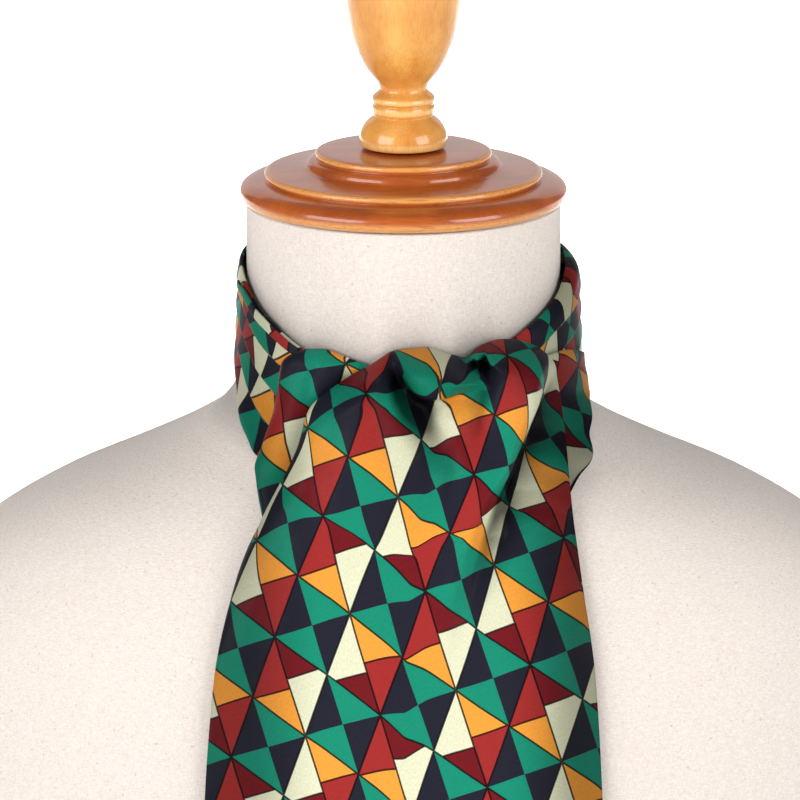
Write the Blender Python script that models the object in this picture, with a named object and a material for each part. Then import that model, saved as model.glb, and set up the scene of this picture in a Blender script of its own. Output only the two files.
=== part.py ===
"""Silk cravat on a limbless dress form.

Metres, +Z up, the wearer facing -Y. The origin is on the base, under the middle of the neck. Tables are in
millimetres and degrees: heights are counted down from the underside of the wooden cap, and a bearing of 0 is
the front of the neck, +90 the wearer's left side (+X), -90 the right side, 180 the nape.
"""

import math

import bpy
import numpy as np

MM = 0.001
CAP_HEIGHT = 470.0  # from the flat base to the underside of the cap
SEAM_GAP = 0.38  # clear space between two pieces that lie on each other
SILK_WALL = 1.4  # two thicknesses of printed silk
BAND_WALL = 1.6  # the pleated band is sewn through
STRIP_WALL = 1.1  # the strip turned over on the band's edge
LAID_OVER = SILK_WALL + SEAM_GAP + 0.1  # what a stretch of silk needs over the face that it lies on
FORM_TURNS = 64  # facets round the linen and the cap
FINIAL_TURNS = 44
FLOOR_STEP = 2.0  # spacing of the map of what lies below a stretch: down the form, in millimetres
FLOOR_TURN = 1.6  # and round it, in degrees
FLOOR_SLOPE = 1.3  # how much a laid cloth falls over one step beyond an edge
FLOOR_HEIGHTS = np.arange(-28.0, -308.0, -FLOOR_STEP)
FLOOR_BEARINGS = np.arange(-80.0, 100.0, FLOOR_TURN)

# The linen form, a row per level: height, half width, depth to the front, depth to the back, squareness.
FORM_LEVELS = [
    (-0.3, 59.6, 60.0, 60.0, 2.0),
    (-25.0, 59.7, 60.1, 60.4, 2.0),
    (-50.0, 60.4, 60.9, 62.2, 2.0),
    (-68.0, 63.2, 63.6, 66.8, 2.02),
    (-80.0, 70.5, 67.2, 73.0, 2.05),
    (-90.0, 86.0, 71.0, 80.0, 2.1),
    (-100.0, 108.0, 75.5, 86.0, 2.15),
    (-112.0, 137.0, 81.5, 92.0, 2.2),
    (-128.0, 163.0, 88.5, 97.0, 2.25),
    (-150.0, 183.0, 96.0, 102.0, 2.3),
    (-180.0, 194.0, 102.5, 106.0, 2.35),
    (-220.0, 197.0, 108.5, 108.0, 2.4),
    (-270.0, 191.0, 112.0, 107.0, 2.4),
    (-330.0, 178.0, 110.0, 102.0, 2.35),
    (-400.0, 163.0, 103.0, 94.0, 2.3),
    (-450.0, 155.5, 98.0, 89.0, 2.25),
    (-470.0, 154.0, 97.0, 88.0, 2.25),
]

# The turned cap and knob, a row per ring of the profile: radius, height.
CAP_RINGS = [
    (0.0, 0.0),
    (58.4, 0.0),
    (60.8, 0.9),
    (62.1, 2.6),
    (62.4, 4.6),
    (61.9, 6.6),
    (60.3, 8.6),
    (57.6, 10.1),
    (54.4, 10.9),
    (52.7, 11.2),
    (52.2, 11.6),
    (52.4, 12.9),
    (51.8, 13.7),
    (50.4, 14.0),
    (37.4, 14.9),
    (36.3, 15.4),
    (36.0, 16.7),
    (35.0, 17.4),
    (33.5, 17.6),
    (33.4, 19.3),
    (32.8, 20.0),
    (31.6, 20.3),
    (0.0, 20.7),
]
KNOB_RINGS = [
    (0.0, 21.0),
    (15.4, 21.0),
    (16.5, 22.0),
    (16.7, 24.0),
    (16.0, 27.0),
    (14.2, 30.2),
    (11.6, 32.5),
    (10.9, 33.1),
    (11.7, 33.7),
    (11.8, 37.0),
    (11.3, 37.7),
    (11.7, 38.4),
    (11.8, 40.2),
    (10.9, 41.3),
    (9.4, 42.4),
    (9.1, 44.2),
    (9.8, 45.9),
    (12.0, 48.4),
    (14.4, 51.7),
    (17.1, 56.9),
    (19.3, 62.6),
    (21.0, 70.0),
    (22.2, 78.5),
    (22.7, 87.0),
    (21.9, 94.5),
    (19.2, 101.0),
    (14.6, 105.6),
    (9.0, 108.0),
    (6.2, 109.6),
    (6.0, 111.0),
    (7.4, 113.4),
    (6.4, 116.8),
    (3.6, 118.6),
    (0.0, 119.2),
]

# The pleated band, a row per place from the right front of the wearer, round the nape, to the left front:
# turn (degrees from the front by way of the nape), height of the top edge, of the foot, swell off the linen.
BAND_PLACES = [
    (34.0, -47.0, -88.0, 4.4),
    (44.0, -44.2, -86.0, 4.4),
    (51.0, -41.7, -82.0, 4.4),
    (60.0, -39.0, -77.0, 4.2),
    (69.0, -35.0, -71.0, 3.8),
    (76.0, -31.5, -67.0, 3.6),
    (85.0, -28.0, -63.0, 3.5),
    (95.0, -25.0, -60.0, 3.4),
    (110.0, -24.0, -57.0, 3.3),
    (135.0, -22.0, -55.0, 3.3),
    (180.0, -20.0, -53.0, 3.3),
    (225.0, -21.5, -55.0, 3.8),
    (250.0, -23.5, -57.0, 5.2),
    (260.0, -25.5, -60.0, 6.6),
    (270.0, -28.0, -63.0, 7.4),
    (282.0, -31.5, -67.0, 7.4),
    (289.0, -35.0, -70.0, 7.0),
    (299.0, -38.0, -75.0, 6.2),
    (308.0, -41.0, -80.0, 5.6),
    (316.0, -44.0, -84.0, 5.0),
    (328.0, -50.0, -90.0, 4.4),
]
BAND_TURNS = (34.0, 328.0)
BAND_PLEATS = 3
PLEAT_DEPTH = 1.1
BAND_EDGE_ROUND = 5.0

# The strip turned over along the band's top edge.
STRIP_TURNS = (42.6, 76.0)
STRIP_WIDTH = 3.4

# The wrap's left-hand fold and its hidden far end, a row per height: height, bearing of the fold, of the end.
WRAP_SIDES = [
    (-44.0, -38.0, 22.0),
    (-50.0, -41.5, 24.0),
    (-76.0, -42.0, 26.0),
    (-86.0, -41.0, 26.0),
    (-96.0, -37.5, 24.0),
    (-112.0, -31.0, 22.0),
]
# The wrap's top edge against the linen, a row per bearing: bearing, height.
WRAP_TOP = [
    (-42.5, -51.0),
    (-38.5, -46.0),
    (-24.0, -43.7),
    (-19.0, -44.7),
    (-9.5, -48.2),
    (-3.0, -57.0),
    (26.0, -70.0),
]
WRAP_FOOT = -108.0
# How far the wrap stands off the linen, a row per bearing: bearing, stand-off at the crown.
WRAP_SWELL = [
    (-43.0, 12.2),
    (-38.0, 12.6),
    (-31.0, 10.8),
    (-24.0, 8.6),
    (-14.0, 7.2),
    (-4.0, 6.0),
    (26.0, 5.6),
]
WRAP_FLATTENS = [(-44.0, 1.0), (-76.0, 1.0), (-92.0, 0.72), (-108.0, 0.42)]
# The wrap's folds, in the same columns as the drape's.
WRAP_FOLDS = [
    (-35.0, -47.0, -46.0, -84.0, 4.5, 1.6, 0.15, 0.50),  # crown along the left-hand fold
    (-13.0, -50.0, -36.0, -78.0, 5.0, -2.4, 0.15, 0.40),  # valley where the drape lies on it
    (-25.0, -45.0, -33.0, -60.0, 4.0, 1.2, 0.20, 0.60),  # the swell between them
]
WRAP_EDGE_ROUND = 6.0

# The front blade's sides, a row per height: height, x of the left-hand side, x of the right-hand side.
BLADE_SIDES = [
    (-36.0, -10.5, 57.0),
    (-44.5, -10.5, 57.0),
    (-48.0, -12.5, 57.0),
    (-51.5, -19.0, 57.2),
    (-55.4, -25.0, 57.4),
    (-59.5, -30.5, 58.0),
    (-65.0, -35.2, 58.8),
    (-78.5, -39.5, 60.5),
    (-100.0, -51.0, 62.5),
    (-125.0, -62.0, 66.0),
    (-160.0, -70.0, 71.0),
    (-215.0, -74.0, 74.0),
    (-300.0, -76.0, 76.0),
]
# The top outline of the blade's roll, a row per place: x, height.
BLADE_TOP = [
    (-10.5, -48.0),
    (-5.7, -42.8),
    (-1.3, -41.0),
    (7.9, -39.8),
    (15.2, -41.3),
    (20.7, -44.2),
    (25.0, -44.6),
    (29.5, -40.6),
    (35.7, -38.6),
    (46.9, -42.6),
    (53.4, -48.0),
    (56.0, -51.6),
    (57.0, -55.0),
]
BLADE_POINT = -292.0  # height of the pointed tip
BLADE_CORNER = -232.0  # height where each side turns in to the tip
# The drape's body, a row per height: height, stand-off at the crown, x of the ridge, fall beyond the ridge.
BLADE_BODY = [
    (-38.0, 17.5, 55.0, 3.0),
    (-48.0, 19.5, 54.0, 5.0),
    (-58.0, 20.0, 50.0, 7.5),
    (-70.0, 19.6, 45.5, 9.0),
    (-82.0, 18.4, 39.5, 9.2),
    (-96.0, 15.6, 31.0, 8.0),
    (-116.0, 11.2, 23.5, 4.6),
    (-135.0, 8.0, 18.0, 2.0),
    (-160.0, 5.8, 14.0, 0.4),
    (-200.0, 4.6, 10.0, 0.0),
    (-300.0, 4.3, 10.0, 0.0),
]
RIDGE_FALL_WIDTH = 13.0
BLADE_TOP_ROUND = 9.0
BLADE_SIDE_ROUND = 9.0
BLADE_HEM_ROUND = 5.0
# The drape's folds, a row each: start x, start height, end x, end height, half width, depth (+ out, - in),
# share of the length over which it starts, share over which it dies away.
BLADE_FOLDS = [
    (-6.5, -48.5, 4.9, -61.0, 5.0, -7.4, 0.15, 0.25),  # valley between the two drapes
    (2.5, -58.0, 14.5, -82.0, 5.2, -4.4, 0.25, 0.80),  # the same valley dying away below
    (-14.0, -52.0, -17.0, -98.0, 9.0, 3.2, 0.20, 0.60),  # crown of the left-hand drape
    (4.0, -46.0, 16.0, -52.0, 7.0, 2.8, 0.30, 0.30),  # crown of the middle drape
    (7.0, -62.0, 25.0, -56.0, 4.6, -3.4, 0.40, 0.25),  # hollow under the middle drape
    (26.5, -41.0, 27.5, -47.0, 4.0, -11.0, 0.20, 0.30),  # the dip beside the right-hand lobe
    (28.5, -50.0, 27.5, -76.0, 4.6, -3.2, 0.10, 0.70),  # the dip's trough going down
    (34.0, -42.0, 45.0, -56.0, 7.5, 2.2, 0.30, 0.20),  # crown of the right-hand lobe
    (44.0, -56.0, 36.0, -90.0, 7.0, 2.2, 0.20, 0.60),
    (-30.0, -92.0, -42.0, -190.0, 9.0, 1.5, 0.30, 0.60),  # long soft folds over the chest
    (24.0, -120.0, 30.0, -215.0, 10.0, 1.2, 0.35, 0.60),
    (-6.0, -130.0, -8.0, -240.0, 12.0, 1.0, 0.40, 0.60),
]

# The turn at the right-hand lobe, a row per bearing: bearing, height of the top edge, of the foot, stand-off.
TURN_PLACES = [
    (28.0, -60.0, -106.0, 6.4),
    (38.0, -54.5, -101.0, 7.8),
    (48.0, -50.5, -90.0, 9.2),
    (58.0, -49.8, -80.0, 10.0),
    (68.0, -52.0, -72.5, 10.0),
    (76.0, -55.0, -68.0, 9.8),
]
TURN_ENDS = (28.0, 76.0)
TURN_EDGE_ROUND = 4.0

# The under blade, a row per height: height, bearing of the left-hand side, of the right-hand side.
UNDER_SIDES = [
    (-94.0, -18.0, 41.0),
    (-120.0, -28.0, 38.0),
    (-160.0, -31.0, 33.5),
    (-215.0, -30.0, 30.0),
    (-300.0, -29.0, 29.0),
]
UNDER_TOP = -95.0
UNDER_POINT = -280.0
UNDER_CORNER = -224.0
UNDER_OFF = 2.2


def curve(table, column, at):
    """A smooth curve through one column of a table, with no overshoot between its rows."""
    rows = np.array(sorted(table))
    x, y = rows[:, 0], rows[:, column]
    step = np.diff(x)
    slope = np.diff(y) / step
    tangent = np.zeros(len(x))
    tangent[0], tangent[-1] = slope[0], slope[-1]
    same_way = slope[:-1] * slope[1:] > 0
    mean = 2 * slope[:-1] * slope[1:] / np.where(same_way, slope[:-1] + slope[1:], 1.0)
    tangent[1:-1] = np.where(same_way, mean, 0.0)
    at = np.clip(at, x[0], x[-1])
    i = np.clip(np.searchsorted(x, at) - 1, 0, len(step) - 1)
    t = (at - x[i]) / step[i]
    start = (1 + 2 * t) * (1 - t) ** 2 * y[i] + t * (1 - t) ** 2 * step[i] * tangent[i]
    end = t * t * (3 - 2 * t) * y[i + 1] + t * t * (t - 1) * step[i] * tangent[i + 1]
    return start + end


def ramp(distance, reach):
    """0 at an edge, rising as a quarter circle to 1 at `reach` inside it."""
    t = np.clip(distance / reach, 0.0, 1.0)
    return np.sqrt(1.0 - (1.0 - t) ** 2)


def smooth_step(t):
    t = np.clip(t, 0.0, 1.0)
    return t * t * (3 - 2 * t)


def linen(bearing, height):
    """Radius of the form at a bearing and a height."""
    side = np.abs(np.sin(np.radians(bearing))) / curve(FORM_LEVELS, 1, height)
    facing = np.cos(np.radians(bearing))
    front, back = curve(FORM_LEVELS, 2, height), curve(FORM_LEVELS, 3, height)
    fore = np.abs(facing) / np.where(facing > 0, front, back)
    power = curve(FORM_LEVELS, 4, height)
    return (side**power + fore**power) ** (-1.0 / power)


def folds(across, height, table):
    """The sum of the soft ridges and troughs of a table at each place."""
    total = np.zeros(np.shape(across))
    for x1, z1, x2, z2, half_width, depth, starts, dies in table:
        run_x, run_z = x2 - x1, z2 - z1
        length = math.hypot(run_x, run_z)
        along = ((across - x1) * run_x + (height - z1) * run_z) / length**2
        aside = ((across - x1) * run_z - (height - z1) * run_x) / length
        past = np.maximum(np.maximum(-along, along - 1.0), 0.0) * length
        begun = smooth_step((along + starts) / (2 * starts))
        left = smooth_step((1.0 + 0.3 * dies - along) / (1.3 * dies))
        total += depth * begun * left * np.exp(-((aside / half_width) ** 2) - (past / half_width) ** 2)
    return total


def stand_off(bearing, height, off):
    """Radius of a face that stands `off` from the linen, measured square to the linen where it slopes."""
    slope = (linen(bearing, height + 1.5) - linen(bearing, height - 1.5)) / 3.0
    return linen(bearing, height) + off * np.minimum(np.hypot(1.0, slope), 2.4)


def band_off(turn, height):
    """How far the band's face stands off the linen, and how far the place is inside the band's edges."""
    top, foot = curve(BAND_PLACES, 1, turn), curve(BAND_PLACES, 2, turn)
    inside = np.minimum(top - height, height - foot)
    down = np.clip((top - height) / (top - foot), 0.0, 1.0)
    pleat = PLEAT_DEPTH * (0.5 - np.abs((down * BAND_PLEATS) % 1.0 - 0.3)) * smooth_step(down * 4.0)
    low = SEAM_GAP + BAND_WALL
    swell = curve(BAND_PLACES, 3, turn) + pleat
    return low + (swell - low) * ramp(inside, BAND_EDGE_ROUND), inside


def band_layer(bearing, height):
    turn = np.where(bearing < 0, -bearing, 360.0 - bearing)
    off, inside = band_off(np.clip(turn, BAND_TURNS[0], BAND_TURNS[1]), height)
    there = (inside > 0) & (turn > BAND_TURNS[0] - 1.0) & (turn < BAND_TURNS[1] + 1.0)
    return np.where(there, off, 0.0)


def under_layer(bearing, height):
    return np.where(height < UNDER_TOP + 2.0, UNDER_OFF, 0.0)


def wrap_layer(bearing, height):
    off, inside = wrap_off(bearing, height)
    return np.where(inside > 0, off, 0.0)


def turn_layer(bearing, height):
    off, inside = turn_off(bearing, height)
    return np.where(inside > 0, off, 0.0)


class Floor:
    """What a stretch of cloth lies over: the layers' highest face, with a slope down from each edge."""

    def __init__(self, layers):
        bearing, height = FLOOR_BEARINGS[None, :], FLOOR_HEIGHTS[:, None]
        shape = (len(FLOOR_HEIGHTS), len(FLOOR_BEARINGS))
        top = np.zeros(shape)
        for layer in layers:
            top = np.maximum(top, np.broadcast_to(layer(bearing + 0 * height, height + 0 * bearing), shape))
        bare = self.spread(top, 0.0)
        slope = bare
        for _ in range(5):
            slope = self.spread(slope, FLOOR_SLOPE)
        soft = np.pad(slope, 1, mode="edge")
        soft = (soft[:-2] + 2 * soft[1:-1] + soft[2:]) / 4
        soft = (soft[:, :-2] + 2 * soft[:, 1:-1] + soft[:, 2:]) / 4
        self.face = np.maximum(soft, bare)

    @staticmethod
    def spread(face, loss):
        wide = np.pad(face, 1, mode="edge")
        rows, columns = face.shape
        most = face
        for i in range(3):
            for j in range(3):
                most = np.maximum(most, wide[i : i + rows, j : j + columns] - loss * math.hypot(i - 1, j - 1))
        return most

    def __call__(self, bearing, height):
        rows, columns = self.face.shape
        i = np.clip((FLOOR_HEIGHTS[0] - height) / FLOOR_STEP, 0, rows - 1.001)
        j = np.clip((bearing - FLOOR_BEARINGS[0]) / FLOOR_TURN, 0, columns - 1.001)
        i0, j0 = i.astype(int), j.astype(int)
        i, j = i - i0, j - j0
        high = self.face[i0, j0] * (1 - j) + self.face[i0, j0 + 1] * j
        deep = self.face[i0 + 1, j0] * (1 - j) + self.face[i0 + 1, j0 + 1] * j
        return high * (1 - i) + deep * i


def wrap_off(bearing, height):
    top = curve(WRAP_TOP, 1, bearing)
    left, right = curve(WRAP_SIDES, 1, height), curve(WRAP_SIDES, 2, height)
    radius = linen(bearing, height)
    full = curve(WRAP_SWELL, 1, bearing) * curve(WRAP_FLATTENS, 1, height)
    full = full + folds((radius + full) * np.sin(np.radians(bearing)), height, WRAP_FOLDS)
    low = LAID_OVER + on_band(bearing, height)
    from_side = np.radians(bearing - left) * radius
    round_in = ramp(top - height, WRAP_EDGE_ROUND) * ramp(from_side, WRAP_EDGE_ROUND)
    inside = np.minimum(np.minimum(top - height, height - WRAP_FOOT), from_side)
    inside = np.minimum(inside, np.radians(right - bearing) * radius)
    return low + (np.maximum(full, low) - low) * round_in, inside


def turn_off(bearing, height):
    top, foot = curve(TURN_PLACES, 1, bearing), curve(TURN_PLACES, 2, bearing)
    low = LAID_OVER + on_band(bearing, height)
    full = curve(TURN_PLACES, 3, bearing) * (1 - 0.55 * smooth_step((-80.0 - height) / 24.0))
    ends = np.radians(np.minimum(bearing - TURN_ENDS[0], TURN_ENDS[1] - bearing)) * 66.0
    round_in = ramp(top - height, TURN_EDGE_ROUND) * ramp(ends, TURN_EDGE_ROUND)
    inside = np.minimum(np.minimum(top - height, height - foot), ends)
    return low + (np.maximum(full, low) - low) * round_in, inside


def blade_face(across, height, top, left_gap, right_gap, hem_gap):
    """Bearing and radius of the front blade's face, worked out together because each needs the other."""
    bearing = np.degrees(np.arctan2(across, 84.0))
    crown = curve(BLADE_BODY, 1, height)
    ridge, fall = curve(BLADE_BODY, 2, height), curve(BLADE_BODY, 3, height)
    crown = crown - fall * smooth_step((across - ridge) / RIDGE_FALL_WIDTH + 0.35)
    crown = crown + folds(across, height, BLADE_FOLDS)
    round_in = ramp(top - height, BLADE_TOP_ROUND) * ramp(left_gap, BLADE_SIDE_ROUND)
    round_in = round_in * ramp(right_gap, BLADE_SIDE_ROUND) * ramp(hem_gap, BLADE_HEM_ROUND)
    for _ in range(8):
        low = LAID_OVER + on_all(bearing, height)
        radius = stand_off(bearing, height, low + (np.maximum(crown, low) - low) * round_in)
        bearing = np.degrees(np.arcsin(np.clip(across / radius, -0.97, 0.97)))
    return bearing, radius


def place(bearing, height, radius):
    """Points in the row's frame, in metres."""
    angle = np.radians(bearing)
    x, y = radius * np.sin(angle), -radius * np.cos(angle)
    return np.stack([x, y, height + CAP_HEIGHT], axis=-1) * MM


def crowd(count, reach):
    """Stations from 0 to 1 that crowd together at both ends, where an edge is rounded."""
    even = np.linspace(0.0, 1.0, count)
    eased = 0.5 - 0.5 * np.cos(math.pi * even)
    return even + (eased - even) * reach


def facing_out(face):
    """Unit normals of a grid of points, turned away from the neck's axis."""
    down, along = np.gradient(face, axis=0), np.gradient(face, axis=1)
    normal = np.cross(along, down)
    normal /= np.linalg.norm(normal, axis=-1, keepdims=True)
    outward = face.copy()
    outward[..., 2] = 0.0
    turned = np.sign(np.mean(np.sum(normal * outward, axis=-1)))
    return normal * turned


def cloth(name, face, wall, colour):
    """A closed shell of cloth: the face, the back a wall's thickness behind it, and a rim all round."""
    back = face - facing_out(face) * wall * MM
    rows, columns = face.shape[:2]
    points = np.concatenate([face.reshape(-1, 3), back.reshape(-1, 3)])
    count = rows * columns
    quads = []
    for i in range(rows - 1):
        for j in range(columns - 1):
            a, b = i * columns + j, i * columns + j + 1
            c, d = b + columns, a + columns
            quads.append((a, b, c, d))
            quads.append((d + count, c + count, b + count, a + count))
    rim = list(range(columns))
    rim += [i * columns + columns - 1 for i in range(1, rows)]
    rim += [(rows - 1) * columns + j for j in range(columns - 2, -1, -1)]
    rim += [i * columns for i in range(rows - 2, 0, -1)]
    for here, there in zip(rim, rim[1:] + rim[:1]):
        quads.append((there, here, here + count, there + count))
    return solid(name, points, quads, colour)


def solid(name, points, faces, colour):
    mesh = bpy.data.meshes.new(name)
    mesh.from_pydata([tuple(point) for point in points], [], faces)
    mesh.validate()
    obj = bpy.data.objects.new(name, mesh)
    bpy.context.scene.collection.objects.link(obj)
    bpy.ops.object.select_all(action="DESELECT")
    obj.select_set(True)
    bpy.context.view_layer.objects.active = obj
    bpy.ops.object.mode_set(mode="EDIT")
    bpy.ops.mesh.select_all(action="SELECT")
    bpy.ops.mesh.normals_make_consistent(inside=False)
    bpy.ops.object.mode_set(mode="OBJECT")
    bpy.ops.object.shade_smooth()
    mesh.materials.append(material(name, *colour))
    return obj


def material(name, red, green, blue, roughness):
    made = bpy.data.materials.new(name)
    made.use_nodes = True
    shader = made.node_tree.nodes["Principled BSDF"]
    shader.inputs["Base Color"].default_value = (red, green, blue, 1.0)
    shader.inputs["Roughness"].default_value = roughness
    shader.inputs["Metallic"].default_value = 0.0
    made.diffuse_color = (red, green, blue, 1.0)
    return made


def turned(name, rings, turns, colour):
    """A piece turned on a lathe, from the rings of its profile."""
    angles = np.radians(np.arange(turns) * 360.0 / turns)
    points, faces, first = [], [], []
    for radius, height in rings:
        first.append(len(points))
        if radius == 0.0:
            points.append((0.0, 0.0, (height + CAP_HEIGHT) * MM))
            continue
        ring = place(np.degrees(angles), np.full(turns, height), np.full(turns, radius))
        points.extend(tuple(point) for point in ring)
    for k in range(len(rings) - 1):
        low, high = first[k], first[k + 1]
        for i in range(turns):
            n = (i + 1) % turns
            if rings[k][0] == 0.0:
                faces.append((low, high + n, high + i))
            elif rings[k + 1][0] == 0.0:
                faces.append((low + i, low + n, high))
            else:
                faces.append((low + i, low + n, high + n, high + i))
    return solid(name, points, faces, colour)


def torso():
    """The form: rings of linen from the neck to the flat base, closed at both ends."""
    neck = np.linspace(-0.3, -56.0, 5)
    chest = np.linspace(-62.0, -162.0, 21)
    waist = np.linspace(-180.0, -470.0, 11)
    levels = np.concatenate([neck, chest, waist])
    bearings = np.arange(FORM_TURNS) * 360.0 / FORM_TURNS
    points, faces = [], []
    for height in levels:
        ring = place(bearings, np.full(FORM_TURNS, height), linen(bearings, np.full(FORM_TURNS, height)))
        points.extend(ring)
    for k in range(len(levels) - 1):
        for i in range(FORM_TURNS):
            n = (i + 1) % FORM_TURNS
            high, low = k * FORM_TURNS, (k + 1) * FORM_TURNS
            faces.append((high + i, high + n, low + n, low + i))
    for k in (0, len(levels) - 1):
        middle = len(points)
        points.append((0.0, 0.0, (levels[k] + CAP_HEIGHT) * MM))
        for i in range(FORM_TURNS):
            faces.append((k * FORM_TURNS + i, k * FORM_TURNS + (i + 1) % FORM_TURNS, middle))
    return solid("form_torso", points, faces, (0.78, 0.73, 0.66, 0.9))


def neck_band():
    turn = np.linspace(BAND_TURNS[0], BAND_TURNS[1], 58)[None, :]
    down = crowd(13, 0.45)[:, None]
    top, foot = curve(BAND_PLACES, 1, turn), curve(BAND_PLACES, 2, turn)
    height = top + (foot - top) * down
    turn = np.broadcast_to(turn, height.shape)
    off, _ = band_off(turn, height)
    bearing = -turn
    face = place(bearing, height, stand_off(bearing, height, off))
    return cloth("neck_band", face, BAND_WALL, (0.05, 0.08, 0.09, 0.4))


def turned_edge():
    turn = np.linspace(STRIP_TURNS[0], STRIP_TURNS[1], 15)[None, :]
    down = np.linspace(0.0, 1.0, 4)[:, None]
    height = curve(BAND_PLACES, 1, turn) - 0.5 - STRIP_WIDTH * down
    turn = np.broadcast_to(turn, height.shape)
    off, _ = band_off(turn, height)
    off = off + SEAM_GAP + STRIP_WALL + 0.12
    face = place(-turn, height, stand_off(-turn, height, off))
    return cloth("turned_edge", face, STRIP_WALL, (0.6, 0.55, 0.35, 0.4))


def cross_wrap():
    across = crowd(20, 0.75)[None, :]
    down = crowd(15, 0.6)[:, None]
    bearing = -42.0 + 66.0 * across + 0.0 * down
    height = curve(WRAP_TOP, 1, bearing) * (1 - down) + WRAP_FOOT * down
    for _ in range(3):
        left, right = curve(WRAP_SIDES, 1, height), curve(WRAP_SIDES, 2, height)
        bearing = left + (right - left) * across
        height = curve(WRAP_TOP, 1, bearing) * (1 - down) + WRAP_FOOT * down
    off, _ = wrap_off(bearing, height)
    face = place(bearing, height, stand_off(bearing, height, off))
    return cloth("cross_wrap", face, SILK_WALL, (0.35, 0.03, 0.04, 0.4))


def front_blade():
    across = crowd(34, 0.45)[None, :]
    over = 0.046 * (1 - np.cos(np.linspace(0.0, math.pi / 2, 7)))
    fall = np.linspace(0.078, 1.0, 28) ** 1.12
    down = np.concatenate([over, fall])[:, None]
    start_x = -10.5 + 67.5 * across
    top = curve(BLADE_TOP, 1, start_x)
    hem = BLADE_CORNER + (BLADE_POINT - BLADE_CORNER) * (1 - np.abs(2 * across - 1) ** 1.15)
    height = top + (hem - top) * down
    left, right = curve(BLADE_SIDES, 1, height), curve(BLADE_SIDES, 2, height)
    x = left + (right - left) * across
    slope = 1.0 / np.hypot(1.0, np.gradient(left[:, 0], height[:, 0]))[:, None]
    bearing, radius = blade_face(x, height, top + 0 * down, (x - left) * slope, right - x, height - hem)
    return cloth("front_blade", place(bearing, height, radius), SILK_WALL, (0.02, 0.30, 0.18, 0.38))


def right_turn():
    across = crowd(14, 0.5)[None, :]
    down = crowd(12, 0.5)[:, None]
    bearing = TURN_ENDS[0] + (TURN_ENDS[1] - TURN_ENDS[0]) * across + 0.0 * down
    top, foot = curve(TURN_PLACES, 1, bearing), curve(TURN_PLACES, 2, bearing)
    height = top + (foot - top) * down
    off, _ = turn_off(bearing, height)
    face = place(bearing, height, stand_off(bearing, height, off))
    return cloth("right_turn", face, SILK_WALL, (0.04, 0.04, 0.08, 0.4))


def under_blade():
    across = np.linspace(0.0, 1.0, 15)[None, :]
    down = np.linspace(0.0, 1.0, 22)[:, None]
    hem = UNDER_CORNER + (UNDER_POINT - UNDER_CORNER) * (1 - np.abs(2 * across - 1) ** 1.15)
    height = UNDER_TOP + (hem - UNDER_TOP) * down
    left, right = curve(UNDER_SIDES, 1, height), curve(UNDER_SIDES, 2, height)
    bearing = left + (right - left) * across
    face = place(bearing, height, stand_off(bearing, height, UNDER_OFF))
    return cloth("under_blade", face, SILK_WALL, (0.03, 0.2, 0.13, 0.4))


for leftover in list(bpy.data.objects):
    bpy.data.objects.remove(leftover)
on_band = Floor((band_layer, under_layer))
on_all = Floor((band_layer, under_layer, wrap_layer, turn_layer))
torso()
turned("neck_cap", CAP_RINGS, FORM_TURNS, (0.42, 0.17, 0.06, 0.3))
turned("neck_finial", KNOB_RINGS, FINIAL_TURNS, (0.62, 0.32, 0.11, 0.3))
neck_band()
turned_edge()
cross_wrap()
right_turn()
under_blade()
front_blade()
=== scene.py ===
# %% [markdown]
# # A printed silk day cravat on a dress form
# A day cravat is a narrow pleated neckband with a wide blade at each end. It is worn once round the neck and
# tied in a simple knot: one blade crosses the throat, the other comes up behind it, rolls over and falls
# down the chest. The cloth here lies on a limbless linen form with a turned wooden cap and knob.
#
# The imported model gives every place. Each stretch of cloth could be simulated, but the folds would then
# fall by chance, so each one is laid as listed: a flat grid is cut, and a small function says where each
# point of the cloth lies on the form.

import math

import bmesh
import bpy
import numpy as np
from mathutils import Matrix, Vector


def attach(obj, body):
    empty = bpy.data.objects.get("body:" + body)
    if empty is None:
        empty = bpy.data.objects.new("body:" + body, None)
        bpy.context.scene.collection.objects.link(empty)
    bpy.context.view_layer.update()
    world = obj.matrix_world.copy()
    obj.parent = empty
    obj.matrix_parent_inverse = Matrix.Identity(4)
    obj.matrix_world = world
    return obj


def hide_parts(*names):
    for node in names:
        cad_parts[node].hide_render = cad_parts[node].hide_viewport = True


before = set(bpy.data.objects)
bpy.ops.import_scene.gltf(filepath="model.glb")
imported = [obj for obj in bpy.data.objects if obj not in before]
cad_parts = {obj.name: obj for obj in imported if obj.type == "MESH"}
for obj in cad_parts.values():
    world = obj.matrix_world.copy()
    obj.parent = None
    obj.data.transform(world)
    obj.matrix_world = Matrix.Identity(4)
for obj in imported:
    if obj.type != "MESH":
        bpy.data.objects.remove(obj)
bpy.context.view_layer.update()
MM = 0.001
CAP_HEIGHT = 0.470  # from the flat base up to the underside of the wooden cap, in metres

# %% [markdown]
# ## The camera
# A long lens from two metres away keeps the neck's roundness without bending it. The camera stands a
# little above the collar and looks down at it, so that the top of the cap shows as an ellipse.

# %% Camera
AIM = Vector((-0.0013, 0.0, 0.3917))  # the point of the neck that the lens looks at
CAMERA_DISTANCE = 2.0
CAMERA_HEIGHT_ANGLE = 14.5  # degrees above the horizon
camera_data = bpy.data.cameras.new("studio_camera")
camera = bpy.data.objects.new("studio_camera", camera_data)
bpy.context.scene.collection.objects.link(camera)
bpy.context.scene.camera = camera
rise = math.radians(CAMERA_HEIGHT_ANGLE)
camera.location = AIM + CAMERA_DISTANCE * Vector((0.0, -math.cos(rise), math.sin(rise)))
camera.rotation_euler = (AIM - camera.location).to_track_quat("-Z", "Y").to_euler()
camera_data.sensor_width = 36.0
camera_data.lens = 234.8
camera_data.clip_start, camera_data.clip_end = 0.05, 60.0
print("camera at", [round(x, 3) for x in camera.location])

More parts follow.
